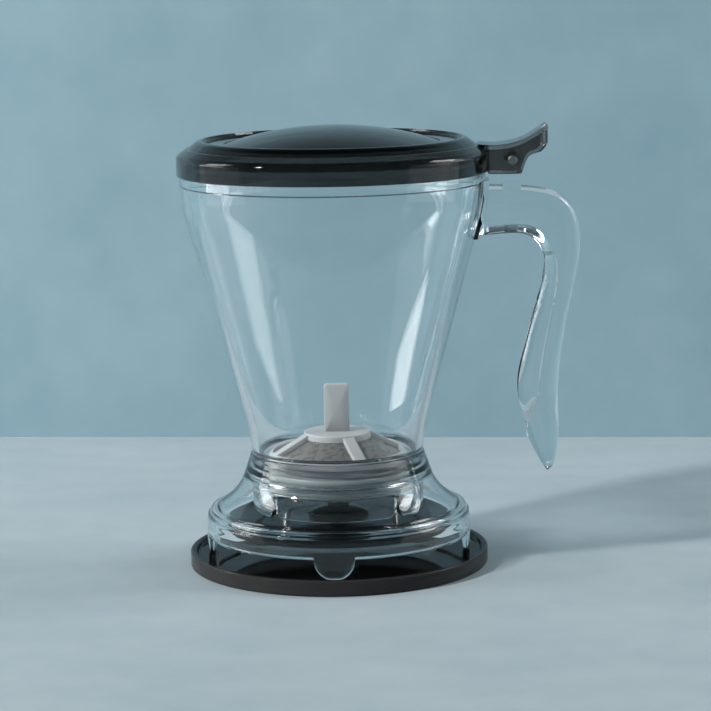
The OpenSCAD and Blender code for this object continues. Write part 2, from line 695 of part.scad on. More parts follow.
// Fine mesh cone, let in under the ribs
module filter_mesh() {
    in_r = filter_r - filter_wall - 0.1;
    mesh_t = 0.6;
    edge = 2;
    drop = filter_rib_t + 0.1;
    color("#8f8b88", 0.8) turned([[filter_top_r - edge, filter_top_z - drop - mesh_t],
        [filter_top_r, filter_top_z - drop - mesh_t], [in_r, filter_cone(in_r) - drop - mesh_t],
        [in_r, filter_cone(in_r) - drop], [filter_top_r, filter_top_z - drop],
        [filter_top_r - edge, filter_top_z - drop]]);
}

// Soft seal round the filter's band, with two lips
module filter_seal() {
    lip_gap = 0.3;
    web_t = 0.8;
    lip = spigot_in_r - lip_gap;
    web = filter_r + web_t;
    lip_h = 1;
    edge = 0.3;
    seal_rise = 2;
    z = filter_z + seal_rise;
    color("#b9b5b2", 0.8) turned([[filter_r, z], [lip, z + edge], [web, z + lip_h], [web, z + 2 * lip_h],
        [lip, z + 2 * lip_h + edge], [web, z + 3 * lip_h], [filter_r, z + 3 * lip_h + edge]]);
}

coaster_tray();
base_skirt();
drip_sleeve();
collar_seal();
vessel();
handle();
hinge_pin();
lid();
valve_cup();
cup_gasket();
stem_bush();
return_spring();
stopper();
stopper_washer();
valve_stem();
release_hub();
release_plate();
stem_nut();
filter_frame();
filter_mesh();
filter_seal();
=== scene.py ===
import math

import bmesh
import bpy
import numpy as np
from mathutils import Matrix, Vector


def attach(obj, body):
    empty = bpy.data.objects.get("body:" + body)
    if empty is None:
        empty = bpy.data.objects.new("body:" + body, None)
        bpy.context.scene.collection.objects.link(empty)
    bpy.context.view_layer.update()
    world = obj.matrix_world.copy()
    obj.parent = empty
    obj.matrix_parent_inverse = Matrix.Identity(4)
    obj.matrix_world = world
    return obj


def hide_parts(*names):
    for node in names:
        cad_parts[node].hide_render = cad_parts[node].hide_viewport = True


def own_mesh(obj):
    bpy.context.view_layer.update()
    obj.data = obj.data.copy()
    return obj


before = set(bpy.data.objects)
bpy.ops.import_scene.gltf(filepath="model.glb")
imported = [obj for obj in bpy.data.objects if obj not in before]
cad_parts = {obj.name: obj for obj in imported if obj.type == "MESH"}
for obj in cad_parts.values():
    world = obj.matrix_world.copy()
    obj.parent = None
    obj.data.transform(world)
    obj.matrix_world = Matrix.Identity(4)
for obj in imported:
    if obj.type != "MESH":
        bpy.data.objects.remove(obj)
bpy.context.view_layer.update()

# Camera and studio. A long lens looks slightly down on the jug, a pale table meets a blue-green
# wall behind it, and one soft lamp from the left throws the shadow to the right.
MM = 0.001
IMAGE_PX = 711
FOCAL_PX = 2635.0
PITCH, TURN, ROLL = math.radians(9.26), math.radians(1.8), math.radians(1.0)
DISTANCE, SIDE_STEP, HEIGHT = 1093.1, 8.3, 266.3

scene = bpy.context.scene
scene.view_settings.view_transform = "Standard"
lens = bpy.data.cameras.new("camera")
lens.sensor_width = 36.0
lens.lens = FOCAL_PX / IMAGE_PX * lens.sensor_width
lens.clip_start, lens.clip_end = 0.02, 20.0
camera = bpy.data.objects.new("camera", lens)
scene.collection.objects.link(camera)
ahead = np.array([-math.sin(TURN), math.cos(TURN), 0.0])
beside = np.array([math.cos(TURN), math.sin(TURN), 0.0])
eye = (-DISTANCE * ahead + SIDE_STEP * beside + [0, 0, HEIGHT]) * MM
camera.matrix_world = (Matrix.Translation(eye.tolist()) @ Matrix.Rotation(TURN, 4, "Z")
                       @ Matrix.Rotation(math.pi / 2 - PITCH, 4, "X") @ Matrix.Rotation(-ROLL, 4, "Z"))
scene.camera = camera


def table_point(px, py):
    """Point of the table, z = 0, seen at a place in the picture: the eye plus the sight line times
    the share of it that reaches down to the table."""
    sight = np.array(camera.matrix_world.to_3x3()) @ [px - IMAGE_PX / 2, IMAGE_PX / 2 - py, -FOCAL_PX]
    return eye - sight * eye[2] / sight[2]


WELD = 2e-6


def surface(name, points, around=True, along=True, fill=False):
    """Mesh over a grid of points in millimetres, points[row, column]: every cell is one face.
    around joins the last column to the first, along the last row to the first. Points that fall
    together are welded, which closes poles and seams, fill closes what is still open, and the faces
    are turned outwards."""
    points = np.asarray(points, float)
    rows, columns = points.shape[:2]
    i = np.arange(rows if along else rows - 1)[:, None]
    j = np.arange(columns if around else columns - 1)[None, :]
    i2, j2 = (i + 1) % rows, (j + 1) % columns
    cells = np.stack(np.broadcast_arrays(i * columns + j, i * columns + j2, i2 * columns + j2,
                                         i2 * columns + j), axis=-1).reshape(-1, 4)
    mesh = bpy.data.meshes.new(name)
    mesh.from_pydata((points.reshape(-1, 3) * MM).tolist(), [], cells.tolist())
    work = bmesh.new()
    work.from_mesh(mesh)
    bmesh.ops.remove_doubles(work, verts=work.verts, dist=WELD)
    if fill:
        bmesh.ops.holes_fill(work, edges=[e for e in work.edges if e.is_boundary], sides=0)
    bmesh.ops.recalc_face_normals(work, faces=work.faces)
    work.to_mesh(mesh)
    work.free()
    mesh.shade_smooth()
    piece = bpy.data.objects.new(name, mesh)
    scene.collection.objects.link(piece)
    return piece


def shader(name):
    """New material with its Principled shader: returns the material, its nodes, a linker, the shader."""
    material = bpy.data.materials.new(name)
    material.use_nodes = True
    tree = material.node_tree
    return material, tree.nodes, tree.links.new, tree.nodes["Principled BSDF"]


def put(node, **values):
    """Sets a node's sockets by name; an underscore stands for a space."""
    for label, value in values.items():
        node.inputs[label.replace("_", " ")].default_value = value


COLOR_A, COLOR_B, COLOR_OUT = 6, 7, 2


def colour_mix(nodes, first=None, second=None):
    """Mix node for two colours, which are set where they are given."""
    mix = nodes.new("ShaderNodeMix")
    mix.data_type = "RGBA"
    for slot, colour in ((COLOR_A, first), (COLOR_B, second)):
        if colour is not None:
            mix.inputs[slot].default_value = colour
    return mix


def greater(nodes, link, first, second):
    """The greater of two values, as a socket."""
    most = nodes.new("ShaderNodeMath")
    most.operation = "MAXIMUM"
    link(first, most.inputs[0])
    link(second, most.inputs[1])
    return most.outputs[0]


def emboss(nodes, link, body, height, strength, distance):
    """A height, times a distance in metres, shapes the shader's normal."""
    bump = nodes.new("ShaderNodeBump")
    put(bump, Strength=strength, Distance=distance)
    link(height, bump.inputs["Height"])
    link(bump.outputs[0], body.inputs["Normal"])


def blend_shaders(material, factor, first, second):
    """The material shows the first shader and, by the factor, a number or a socket, the second."""
    nodes, link = material.node_tree.nodes, material.node_tree.links.new
    mix = nodes.new("ShaderNodeMixShader")
    if isinstance(factor, float):
        mix.inputs[0].default_value = factor
    else:
        link(factor, mix.inputs[0])
    link(first.outputs[0], mix.inputs[1])
    link(second.outputs[0], mix.inputs[2])
    link(mix.outputs[0], nodes["Material Output"].inputs["Surface"])
    return mix


def plaster_group():
    """Node group: hand-brushed plaster. Two scales of cloudy tone and long arced strokes give a
    colour between Dark and Pale, and a height for the relief."""
    group = bpy.data.node_groups.new("brushed_plaster", "ShaderNodeTree")
    for label, kind in (("Vector", "NodeSocketVector"), ("Pale", "NodeSocketColor"),
                        ("Dark", "NodeSocketColor"), ("Scale", "NodeSocketFloat")):
        group.interface.new_socket(label, in_out="INPUT", socket_type=kind)
    group.interface.new_socket("Color", in_out="OUTPUT", socket_type="NodeSocketColor")
    group.interface.new_socket("Height", in_out="OUTPUT", socket_type="NodeSocketFloat")
    nodes, link = group.nodes, group.links.new
    entry, leave = nodes.new("NodeGroupInput"), nodes.new("NodeGroupOutput")
    scaled = nodes.new("ShaderNodeVectorMath")
    scaled.operation = "SCALE"
    link(entry.outputs["Vector"], scaled.inputs[0])
    link(entry.outputs["Scale"], scaled.inputs["Scale"])
    clouds, fine = nodes.new("ShaderNodeTexNoise"), nodes.new("ShaderNodeTexNoise")
    put(clouds, Scale=2.2, Detail=5.0)
    put(fine, Scale=14.0, Detail=7.0)
    strokes = nodes.new("ShaderNodeTexWave")
    strokes.wave_type = "RINGS"
    put(strokes, Scale=1.6, Distortion=9.0, Detail=4.0, Detail_Scale=1.4)
    for texture in (clouds, fine, strokes):
        link(scaled.outputs[0], texture.inputs["Vector"])

    def with_share(base, share, extra):
        step = nodes.new("ShaderNodeMath")
        step.operation = "MULTIPLY_ADD"
        step.inputs[1].default_value = share
        link(extra, step.inputs[0])
        link(base, step.inputs[2])
        return step.outputs[0]

    shade = with_share(with_share(clouds.outputs[0], 0.45, fine.outputs[0]), 0.12, strokes.outputs[1])
    spread, mix = nodes.new("ShaderNodeMapRange"), colour_mix(nodes)
    put(spread, From_Min=0.5, From_Max=1.05)
    link(shade, spread.inputs["Value"])
    link(spread.outputs[0], mix.inputs["Factor"])
    link(entry.outputs["Dark"], mix.inputs[COLOR_A])
    link(entry.outputs["Pale"], mix.inputs[COLOR_B])
    link(mix.outputs[COLOR_OUT], leave.inputs["Color"])
    link(shade, leave.inputs["Height"])
    return group


PLASTER = plaster_group()


def srgb(r, g, b):
    """Colour from its everyday 0 to 255 values: each value over 255, raised to 2.2."""
    return (*(np.array([r, g, b]) / 255.0) ** 2.2, 1.0)


def plaster(name, pale, dark, scale, relief):
    """Painted plaster for the table and the wall."""
    material, nodes, link, body = shader(name)
    where, coat = nodes.new("ShaderNodeTexCoord"), nodes.new("ShaderNodeGroup")
    coat.node_tree = PLASTER
    put(coat, Scale=scale, Pale=pale, Dark=dark)
    link(where.outputs["Object"], coat.inputs["Vector"])
    link(coat.outputs["Color"], body.inputs["Base Color"])
    emboss(nodes, link, body, coat.outputs["Height"], 0.35, relief)
    put(body, Roughness=0.62, Specular_IOR_Level=0.3)
    return material


def open_behind(material):
    """The wall shows only from the side that it faces, so that the object can be seen from behind."""
    nodes = material.node_tree.nodes
    side, nothing = nodes.new("ShaderNodeNewGeometry"), nodes.new("ShaderNodeBsdfTransparent")
    blend_shaders(material, side.outputs["Backfacing"], nodes["Principled BSDF"], nothing)


WALL_LINE_PX, WALL_LEFT_PX, WALL_RIGHT_PX = 437.0, -900, 1611
WALL_H, WALL_EXTRA, TABLE_FRONT, TABLE_BACK, CELLS = 310.0, 900, 2600.0, 900.0, 24
wall_left = table_point(WALL_LEFT_PX, WALL_LINE_PX) / MM
wall_right = table_point(WALL_RIGHT_PX, WALL_LINE_PX) / MM
wall_dir = (wall_right - wall_left) / np.linalg.norm(wall_right - wall_left)
wall_left, wall_right = wall_left - WALL_EXTRA * wall_dir, wall_right + WALL_EXTRA * wall_dir
inward = np.array([-wall_dir[1], wall_dir[0], 0.0])
edge = wall_left + np.linspace(0, 1, CELLS)[:, None] * (wall_right - wall_left)
steps_in = np.linspace(-TABLE_FRONT, TABLE_BACK, CELLS)
table = surface("table_top", np.stack([edge + inward * s for s in steps_in]), around=False, along=False)
table.data.materials.append(plaster("table_paint", srgb(166, 179, 185), srgb(153, 168, 176), 5.0, 0.0012))
wall = surface("back_wall", np.stack([edge + [0, 0, WALL_H * s] for s in np.linspace(0, 1, CELLS)]),
               around=False, along=False)
wall_paint = plaster("wall_paint", srgb(149, 176, 186), srgb(132, 163, 176), 4.0, 0.001)
wall.data.materials.append(wall_paint)
open_behind(wall_paint)
for ground, facing in ((table, [0, 0, 1]), (wall, -inward)):
    if np.dot(ground.data.polygons[0].normal, facing) < 0:
        ground.data.flip_normals()


def lamp(name, place, aim, size, power, tint=(1, 1, 1), shape="RECTANGLE"):
    """Soft lamp or lit card at a place in metres, turned to face a point."""
    data = bpy.data.lights.new(name, "AREA")
    data.shape, data.size, data.size_y = shape, size[0], size[1]
    data.energy, data.color = power, tint
    holder = bpy.data.objects.new(name, data)
    scene.collection.objects.link(holder)
    away = Vector(place) - Vector(aim)
    holder.matrix_world = Matrix.Translation(place) @ away.to_track_quat("Z", "Y").to_matrix().to_4x4()
    holder.visible_camera = False


def around(azimuth, elevation, distance):
    """Place in metres round the jug: azimuth from the left side towards the camera, in degrees."""
    bearing, climb = math.radians(azimuth), math.radians(elevation)
    return (-distance * math.cos(bearing) * math.cos(climb), -distance * math.sin(bearing) * math.cos(climb),
            BODY_Z + distance * math.sin(climb))


BODY_Z = 0.08
MIDDLE = (0, 0, 0.1)
WARM, COOL = (1.0, 0.985, 0.955), (0.97, 0.99, 1.0)
lamp("key_lamp", around(31.5, 36.5, 3.0), (0, 0, BODY_Z), (0.24, 0.24), 82.0, WARM)
lamp("left_window_core", around(-8, 31, 1.34), MIDDLE, (0.34, 0.62), 3.2, COOL, "ELLIPSE")
lamp("left_window_edge", around(-8, 31, 1.36), MIDDLE, (0.50, 0.74), 2.0, COOL, "ELLIPSE")
lamp("right_window", around(194, 38, 1.2), MIDDLE, (0.36, 0.44), 3.5, COOL, "ELLIPSE")
lamp("right_card", (0.58, 0.09, 0.375), MIDDLE, (0.30, 0.35), 0.8)
lamp("left_low_card", (-0.8, -0.05, 0.22), (0, -0.05, 0.22), (0.6, 0.44), 0.4)
lamp("left_streak_card", (-0.79, 0.06, 0.235), (0, 0, 0.235), (0.36, 0.13), 0.8)
lamp("right_low_card", (0.8, -0.15, 0.22), (0, -0.15, 0.22), (0.7, 0.44), 0.6)
# The air round the set is blue-green at the horizon and dark overhead; rays that bounce off the
# object see its front part dimmed.
world = bpy.data.worlds.new("studio_air")
world.use_nodes = True
air, link = world.node_tree.nodes, world.node_tree.links.new
where, axes, path = (air.new("ShaderNodeTexCoord"), air.new("ShaderNodeSeparateXYZ"),
                     air.new("ShaderNodeLightPath"))
fade, front = air.new("ShaderNodeMapRange"), air.new("ShaderNodeMapRange")
sky = colour_mix(air, (0.25, 0.38, 0.44, 1.0), (0.045, 0.058, 0.066, 1.0))
put(fade, From_Min=0.38, From_Max=0.82)
put(front, From_Min=-0.4, From_Max=0.3, To_Min=0.35)
link(where.outputs["Generated"], axes.inputs[0])
link(axes.outputs["Z"], fade.inputs["Value"])
link(axes.outputs["Y"], front.inputs["Value"])
link(fade.outputs[0], sky.inputs["Factor"])
link(sky.outputs[COLOR_OUT], air["Background"].inputs["Color"])
seen = greater(air, link, path.outputs["Is Camera Ray"], path.outputs["Is Transmission Ray"])
link(greater(air, link, front.outputs[0], seen), air["Background"].inputs["Strength"])
scene.world = world

# Drip coaster. A shallow dish moulded in dark smoky plastic, its gloss half worn off, with a hollow
# ribbed underside; the jug's four feet stand on its floor and it catches the last drops.
COASTER_R, COASTER_TOP, COASTER_FLOOR, COASTER_WALL, COASTER_RIM, CORE_R = 63.0, 6.6, 4.8, 2.0, 3.0, 8.0


def rounded(corners, steps=5):
    """Closed outline with softened corners. Each corner (x, y, radius) gives way to the curve
    (1-t)^2 a + 2t(1-t) b + t^2 c between the points at that radius on its two sides, with one more
    point on each side, so that flat runs stay flat when they are shaded smooth."""
    corners = np.asarray(corners, float)
    spot, radius = corners[:, :2], corners[:, 2]
    back, on = np.roll(spot, 1, axis=0) - spot, np.roll(spot, -1, axis=0) - spot
    length_back, length_on = np.linalg.norm(back, axis=1), np.linalg.norm(on, axis=1)
    reach = np.minimum(radius, 0.3 * np.minimum(length_back, length_on))[:, None]
    start = back / np.maximum(length_back, 1e-9)[:, None] * reach
    to = on / np.maximum(length_on, 1e-9)[:, None] * reach
    t = np.linspace(0, 1, steps + 1)[None, :, None]
    curve = ((1 - t) ** 2 * (spot + start)[:, None] + 2 * t * (1 - t) * spot[:, None]
             + t ** 2 * (spot + to)[:, None])
    full = np.concatenate([(spot + 1.6 * start)[:, None], curve, (spot + 1.6 * to)[:, None]], axis=1)
    full = full.reshape(-1, 2)
    return full[np.linalg.norm(full - np.roll(full, 1, axis=0), axis=1) > 1e-5]


def bow(a, b, c, steps=10):
    """Smooth bend from a to c, drawn towards b: (1-t)^2 a + 2t(1-t) b + t^2 c, as corners with no
    rounding of their own."""
    a, b, c = (np.asarray(p, float)[None] for p in (a, b, c))
    t = np.linspace(0, 1, steps + 1)[:, None]
    run = (1 - t) ** 2 * a + 2 * t * (1 - t) * b + t ** 2 * c
    return np.column_stack([run, np.zeros(len(run))]).tolist()


def wall_points(corners, angles):
    """Grid of a turned wall, before it becomes a mesh: x = r cos a, y = r sin a."""
    outline = rounded(corners)
    r, z = outline[:, 0:1], outline[:, 1:2]
    return np.stack([r * np.cos(angles), r * np.sin(angles), z + 0 * angles], axis=-1)


def turned(name, corners, columns=288):
    """Round piece: an outline of radius and height carried about the Z axis. Where the outline
    touches the axis the points weld to a pole."""
    return surface(name, wall_points(corners, np.arange(columns) / columns * 2 * np.pi))


def joined(name, *pieces):
    """Several closed shells as one piece, under one name."""
    work = bmesh.new()
    for piece in pieces:
        work.from_mesh(piece.data)
        bpy.data.objects.remove(piece)
    mesh = bpy.data.meshes.new(name)
    work.to_mesh(mesh)
    work.free()
    whole = bpy.data.objects.new(name, mesh)
    scene.collection.objects.link(whole)
    return whole


def bar(name, outline, low, high, place):
    """Straight moulded bar: an outline (x, y, radius) carried from low to high, its ends drawn in
    by a small radius; place(x, y, t) puts each point into the object."""
    ring = rounded(outline)
    middle = ring.mean(axis=0)
    soft = min(0.4, 0.2 * (high - low))
    stations = np.array([[low, 0.0], [low, 1 - 1.0 * soft / 2], [low + soft * 0.3, 1 - 0.3 * soft / 2],
                         [low + soft, 1], [low + 1.6 * soft, 1], [high - 1.6 * soft, 1],
                         [high - soft, 1], [high - soft * 0.3, 1 - 0.3 * soft / 2],
                         [high, 1 - 1.0 * soft / 2], [high, 0.0]])
    span = np.maximum(np.ptp(ring, axis=0).min() / 2, soft)
    scale = 1 - (1 - stations[:, 1]) / np.where(stations[:, 1] > 0, span, 1)
    scale = np.where(stations[:, 1] > 0, scale, 0)
    flat = middle + (ring - middle)[None] * scale[:, None, None]
    t = np.broadcast_to(stations[:, :1], flat.shape[:2])
    return surface(name, place(flat[..., 0], flat[..., 1], t), along=False)


def section(width, foot, top, foot_radius, top_radius):
    """Outline of a bar: its width, and its foot and top with the radius of their corners."""
    foot_left, foot_right = [(x, foot, foot_radius) for x in (-width / 2, width / 2)]
    return [foot_left, foot_right, (width / 2, top, top_radius), (-width / 2, top, top_radius)]


def spokes(name, degrees, outline, low, high, lift=lambda t: 0 * t):
    """Bars running out from the Z axis, from low to high: a point is t out + x side + (y + lift) up."""
    bars = []
    for angle in np.radians(degrees):
        out = np.array([math.cos(angle), math.sin(angle), 0])
        side = np.array([-out[1], out[0], 0])
        bars.append(bar(name, outline, low, high,
                        lambda x, y, t: (t[..., None] * out + x[..., None] * side
                                         + (y + lift(t))[..., None] * [0, 0, 1])))
    return bars


def moulded_group():
    """Node group: the skin of a moulded plastic. Fine haze changes the roughness, rare hairline
    scratches and slow flow waves make up the height, and dust lies on top."""
    group = bpy.data.node_groups.new("moulded_skin", "ShaderNodeTree")
    group.interface.new_socket("Vector", in_out="INPUT", socket_type="NodeSocketVector")
    for label in ("Roughness", "Haze", "Scratch"):
        group.interface.new_socket(label, in_out="INPUT", socket_type="NodeSocketFloat")
    for label in ("Roughness", "Height", "Dust"):
        group.interface.new_socket(label, in_out="OUTPUT", socket_type="NodeSocketFloat")
    nodes, link = group.nodes, group.links.new
    entry, leave = nodes.new("NodeGroupInput"), nodes.new("NodeGroupOutput")

    def noise(scale, detail):
        texture = nodes.new("ShaderNodeTexNoise")
        put(texture, Scale=scale, Detail=detail)
        link(entry.outputs["Vector"], texture.inputs["Vector"])
        return texture.outputs[0]

    def math_node(kind, first, second, third=None):
        step = nodes.new("ShaderNodeMath")
        step.operation = kind
        for slot, value in enumerate((first, second, third)):
            if isinstance(value, (int, float)):
                step.inputs[slot].default_value = value
            elif value is not None:
                link(value, step.inputs[slot])
        return step.outputs[0]

    haze = math_node("MULTIPLY", noise(55.0, 4.0), entry.outputs["Haze"])
    link(math_node("ADD", entry.outputs["Roughness"], haze), leave.inputs["Roughness"])
    lines = nodes.new("ShaderNodeTexVoronoi")
    lines.feature = "DISTANCE_TO_EDGE"
    put(lines, Scale=38.0)
    warp = nodes.new("ShaderNodeMapping")
    put(warp, Rotation=(0.7, 0.4, 1.1), Scale=(0.22, 3.0, 0.8))
    link(entry.outputs["Vector"], warp.inputs["Vector"])
    link(warp.outputs[0], lines.inputs["Vector"])
    hair = math_node("MULTIPLY", math_node("LESS_THAN", lines.outputs["Distance"], 0.006),
                     math_node("GREATER_THAN", noise(30.0, 1.0), 0.6))
    scored = math_node("MULTIPLY", hair, entry.outputs["Scratch"])
    link(math_node("SUBTRACT", noise(18.0, 1.0), scored), leave.inputs["Height"])
    link(math_node("GREATER_THAN", noise(1400.0, 1.0), 0.76), leave.inputs["Dust"])
    return group


MOULDED = moulded_group()


def skinned(name, roughness, haze, scratch):
    """New material whose roughness comes from the moulded skin: what shader returns, and the skin."""
    material, nodes, link, body = shader(name)
    where, skin = nodes.new("ShaderNodeTexCoord"), nodes.new("ShaderNodeGroup")
    skin.node_tree = MOULDED
    put(skin, Roughness=roughness, Haze=haze, Scratch=scratch)
    link(where.outputs["Object"], skin.inputs["Vector"])
    link(skin.outputs["Roughness"], body.inputs["Roughness"])
    return material, nodes, link, body, skin


def plastic(name, colour, roughness, haze=0.05, scratch=0.3, relief=0.00012, dust=0.0, clear=0.0,
            gloss=0.5, shadow=None, worn=0.0):
    """Moulded plastic. clear is the share of light that passes through the wall, gloss the strength
    of its reflections, worn the share of its skin that is too dull to reflect; shadow is the tint of
    the light that a clear piece lets through."""
    material, nodes, link, body, skin = skinned(name, roughness, haze, scratch)
    emboss(nodes, link, body, skin.outputs["Height"], 0.25, relief)
    specks = colour_mix(nodes, colour, tuple(min(1.0, c + dust * 0.3) for c in colour[:3]) + (1.0,))
    specks.name = "dust on the colour"
    link(skin.outputs["Dust"], specks.inputs["Factor"])
    link(specks.outputs[COLOR_OUT], body.inputs["Base Color"])
    put(body, IOR=1.49, Specular_IOR_Level=gloss, Specular_Tint=(min(1.0, 2 * gloss),) * 3 + (1.0,),
        Transmission_Weight=clear)
    if worn > 0:
        matt = nodes.new("ShaderNodeBsdfDiffuse")
        put(matt, Color=colour)
        body = blend_shaders(material, worn, body, matt)
    if shadow is not None:
        path, see_through = nodes.new("ShaderNodeLightPath"), nodes.new("ShaderNodeBsdfTransparent")
        edge_on = nodes.new("ShaderNodeLayerWeight")
        put(edge_on, Blend=0.3)
        through_wall = colour_mix(nodes, (*shadow, 1.0), (*(0.55 * np.array(shadow)), 1.0))
        link(edge_on.outputs["Facing"], through_wall.inputs["Factor"])
        link(through_wall.outputs[COLOR_OUT], see_through.inputs["Color"])
        unseen = greater(nodes, link, path.outputs["Is Shadow Ray"], path.outputs["Is Diffuse Ray"])
        blend_shaders(material, unseen, body, see_through)
    return material


def other_tint(material, tint, radius):
    """Gives a see-through plastic another depth of colour beyond a distance from the Z axis: a paler
    tint for the lid's lever, and for the coaster's side a paler tint that is painted light shining
    through the smoky wall."""
    nodes, link = material.node_tree.nodes, material.node_tree.links.new
    where, flat, away = (nodes.new("ShaderNodeTexCoord"), nodes.new("ShaderNodeVectorMath"),
                         nodes.new("ShaderNodeVectorMath"))
    flat.operation, away.operation = "MULTIPLY", "LENGTH"
    flat.inputs[1].default_value = (1, 1, 0)
    beyond = nodes.new("ShaderNodeMapRange")
    put(beyond, From_Min=radius, From_Max=radius + 0.0008)
    plain = nodes["dust on the colour"].inputs[COLOR_A]
    mix = colour_mix(nodes, plain.default_value, tint)
    link(where.outputs["Object"], flat.inputs[0])
    link(flat.outputs[0], away.inputs[0])
    link(away.outputs["Value"], beyond.inputs["Value"])
    link(beyond.outputs[0], mix.inputs["Factor"])
    link(mix.outputs[COLOR_OUT], plain)


under = COASTER_FLOOR - COASTER_WALL
hollow_r = COASTER_R - COASTER_WALL - 1.2
dish_r = COASTER_R - COASTER_RIM
dish = turned("dish", [
    (0, 0, 0), (CORE_R, 0, 0.3), (CORE_R, under, 0.3), (hollow_r, under, 0.3), (hollow_r, 0, 0.2),
    (COASTER_R, 0, 1.3), (COASTER_R, COASTER_TOP, 1.5), (dish_r + 0.5, COASTER_TOP, 0.4),
    (dish_r - 0.3, COASTER_FLOOR, 0.6), (0, COASTER_FLOOR, 0)])
ribs = spokes("rib", np.arange(0, 360, 60), section(1.4, 0.4, under + 0.5, 0.2, 0),
              CORE_R - 1, hollow_r + 0.6)
coaster = joined("coaster", dish, *ribs)
# The side's paler tint is painted light: it stands for the key light shining through the smoky side wall,
# while the floor keeps the dark smoke colour.
SMOKE_FLOOR, LIT_SMOKE_SIDE = (0.005, 0.005, 0.005, 1.0), (0.46, 0.45, 0.445, 1.0)
smoke_coaster = plastic("smoke_coaster", SMOKE_FLOOR, 0.02, haze=0.03, clear=0.88, gloss=0.2,
                        shadow=(0.12, 0.12, 0.12), worn=0.45)
other_tint(smoke_coaster, LIT_SMOKE_SIDE, 0.0615)
coaster.data.materials.append(smoke_coaster)
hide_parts("coaster_tray")
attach(coaster, "coaster")

# Base skirt. One clear moulding: a ribbed collar gripping the jug's spigot, a flare, a band that
# slips over a cup, and four round-ended feet left standing in the band's lower edge.
CLEAR = (0.965, 0.985, 0.99, 1.0)
CLEAR_SHADOW = (0.88, 0.905, 0.915)
SKIRT_Z, SHOULDER_Z, COLLAR_Z, COLLAR_TOP = 12.9, 23.9, 38.7, 48.3
SKIRT_R, SOCKET_R, COLLAR_R, NECK_R, SPIGOT_R, BORE_R = 55.7, 52.6, 39.7, 36.3, 34.2, 31.4
FOOT_W, FEET = 17.0, np.radians([0, 90, 180, 270])


def angle_to(angles, places):
    """Angle from each direction to the nearest of the given places."""
    return np.abs((angles[:, None] - places[None] + np.pi) % (2 * np.pi) - np.pi).min(axis=1)


def spread_columns(count, places, reach, radius, steps=14):
    """Angles round a wall, close together near the given places: reach * sin(s) to either side, in
    millimetres on the given radius, so that a round edge there is drawn evenly."""
    s = np.linspace(-np.pi / 2, np.pi / 2, 2 * steps + 1)
    near_by = (places[:, None] + reach / radius * np.sin(s)[None]).ravel()
    plain = np.arange(count) / count * 2 * np.pi
    plain = plain[angle_to(plain, places) > reach / radius * 1.02]
    return np.sort(np.concatenate([near_by, plain]) % (2 * np.pi))


def cut_lower_edge(points, edge_z, low, held, free):
    """Moves a wall's lower edge to edge_z(angle): heights up to held above low move with it, and
    the move fades out towards free."""
    z = points[..., 2]
    weight = np.clip((free - z) / (free - low - held), 0, 1)
    points[..., 2] = z + (edge_z - low)[None, :] * weight
    return points


RIBS, RIB_RELIEF = 4, 0.03
down = np.linspace(0.03, 1, 50)
taper = NECK_R + (COLLAR_R - NECK_R) * down - RIB_RELIEF * np.cos(2 * np.pi * RIBS * down)
collar = np.column_stack([taper, COLLAR_TOP - (COLLAR_TOP - COLLAR_Z) * down, 0 * down])[:-1].tolist()
SKIRT = ([(SPIGOT_R + 0.2, COLLAR_TOP, 0.1)] + collar
         + bow((COLLAR_R, COLLAR_Z), (COLLAR_R + 2.6, COLLAR_Z - 8.3), (SKIRT_R - 2.9, SHOULDER_Z + 1))
         + [(SKIRT_R - 2, SHOULDER_Z + 0.7, 0.5), (SKIRT_R - 1.1, SHOULDER_Z - 1.2, 0.5),
            (SKIRT_R - 0.5, SHOULDER_Z - 1.5, 0.3), (SKIRT_R, SHOULDER_Z - 3.9, 0.9),
            (SKIRT_R, SKIRT_Z + 1.6, 0.8), (SKIRT_R - 0.5, SKIRT_Z + 0.6, 0.3), (SKIRT_R - 0.9, SKIRT_Z, 0.4),
            (SOCKET_R, SKIRT_Z, 0.5), (SOCKET_R, SKIRT_Z + 3.6, 0.4), (SOCKET_R - 0.5, SHOULDER_Z - 4, 0.8)]
         + bow((SOCKET_R - 2, SHOULDER_Z - 1.2), (COLLAR_R + 0.2, COLLAR_Z - 9.8),
               (COLLAR_R - 2.4, COLLAR_Z - 0.8))
         + [(SPIGOT_R + 0.2, COLLAR_Z - 0.8, 0.4)])
angles = spread_columns(300, FEET, FOOT_W / 2, SKIRT_R)
offset = angle_to(angles, FEET) * SKIRT_R
toe = COASTER_FLOOR + 0.06
foot_z = np.maximum(SKIRT_Z + 0.1 - np.sqrt(np.maximum((FOOT_W / 2) ** 2 - offset ** 2, 0)), toe)
foot_z = np.where(offset < FOOT_W / 2, np.minimum(foot_z, SKIRT_Z), SKIRT_Z)
skirt = surface("skirt", cut_lower_edge(wall_points(SKIRT, angles), foot_z, SKIRT_Z, 0.9, SKIRT_Z + 3.2))
clear_body = plastic("clear_body", CLEAR, 0.0, haze=0.008, relief=0.00002, clear=1.0,
                     shadow=CLEAR_SHADOW)
clear_skirt = plastic("clear_skirt", CLEAR, 0.0, haze=0.004, relief=0.00002, clear=1.0, gloss=0.3,
                      shadow=CLEAR_SHADOW)
skirt.data.materials.append(clear_skirt)
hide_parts("base_skirt")
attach(skirt, "pot")

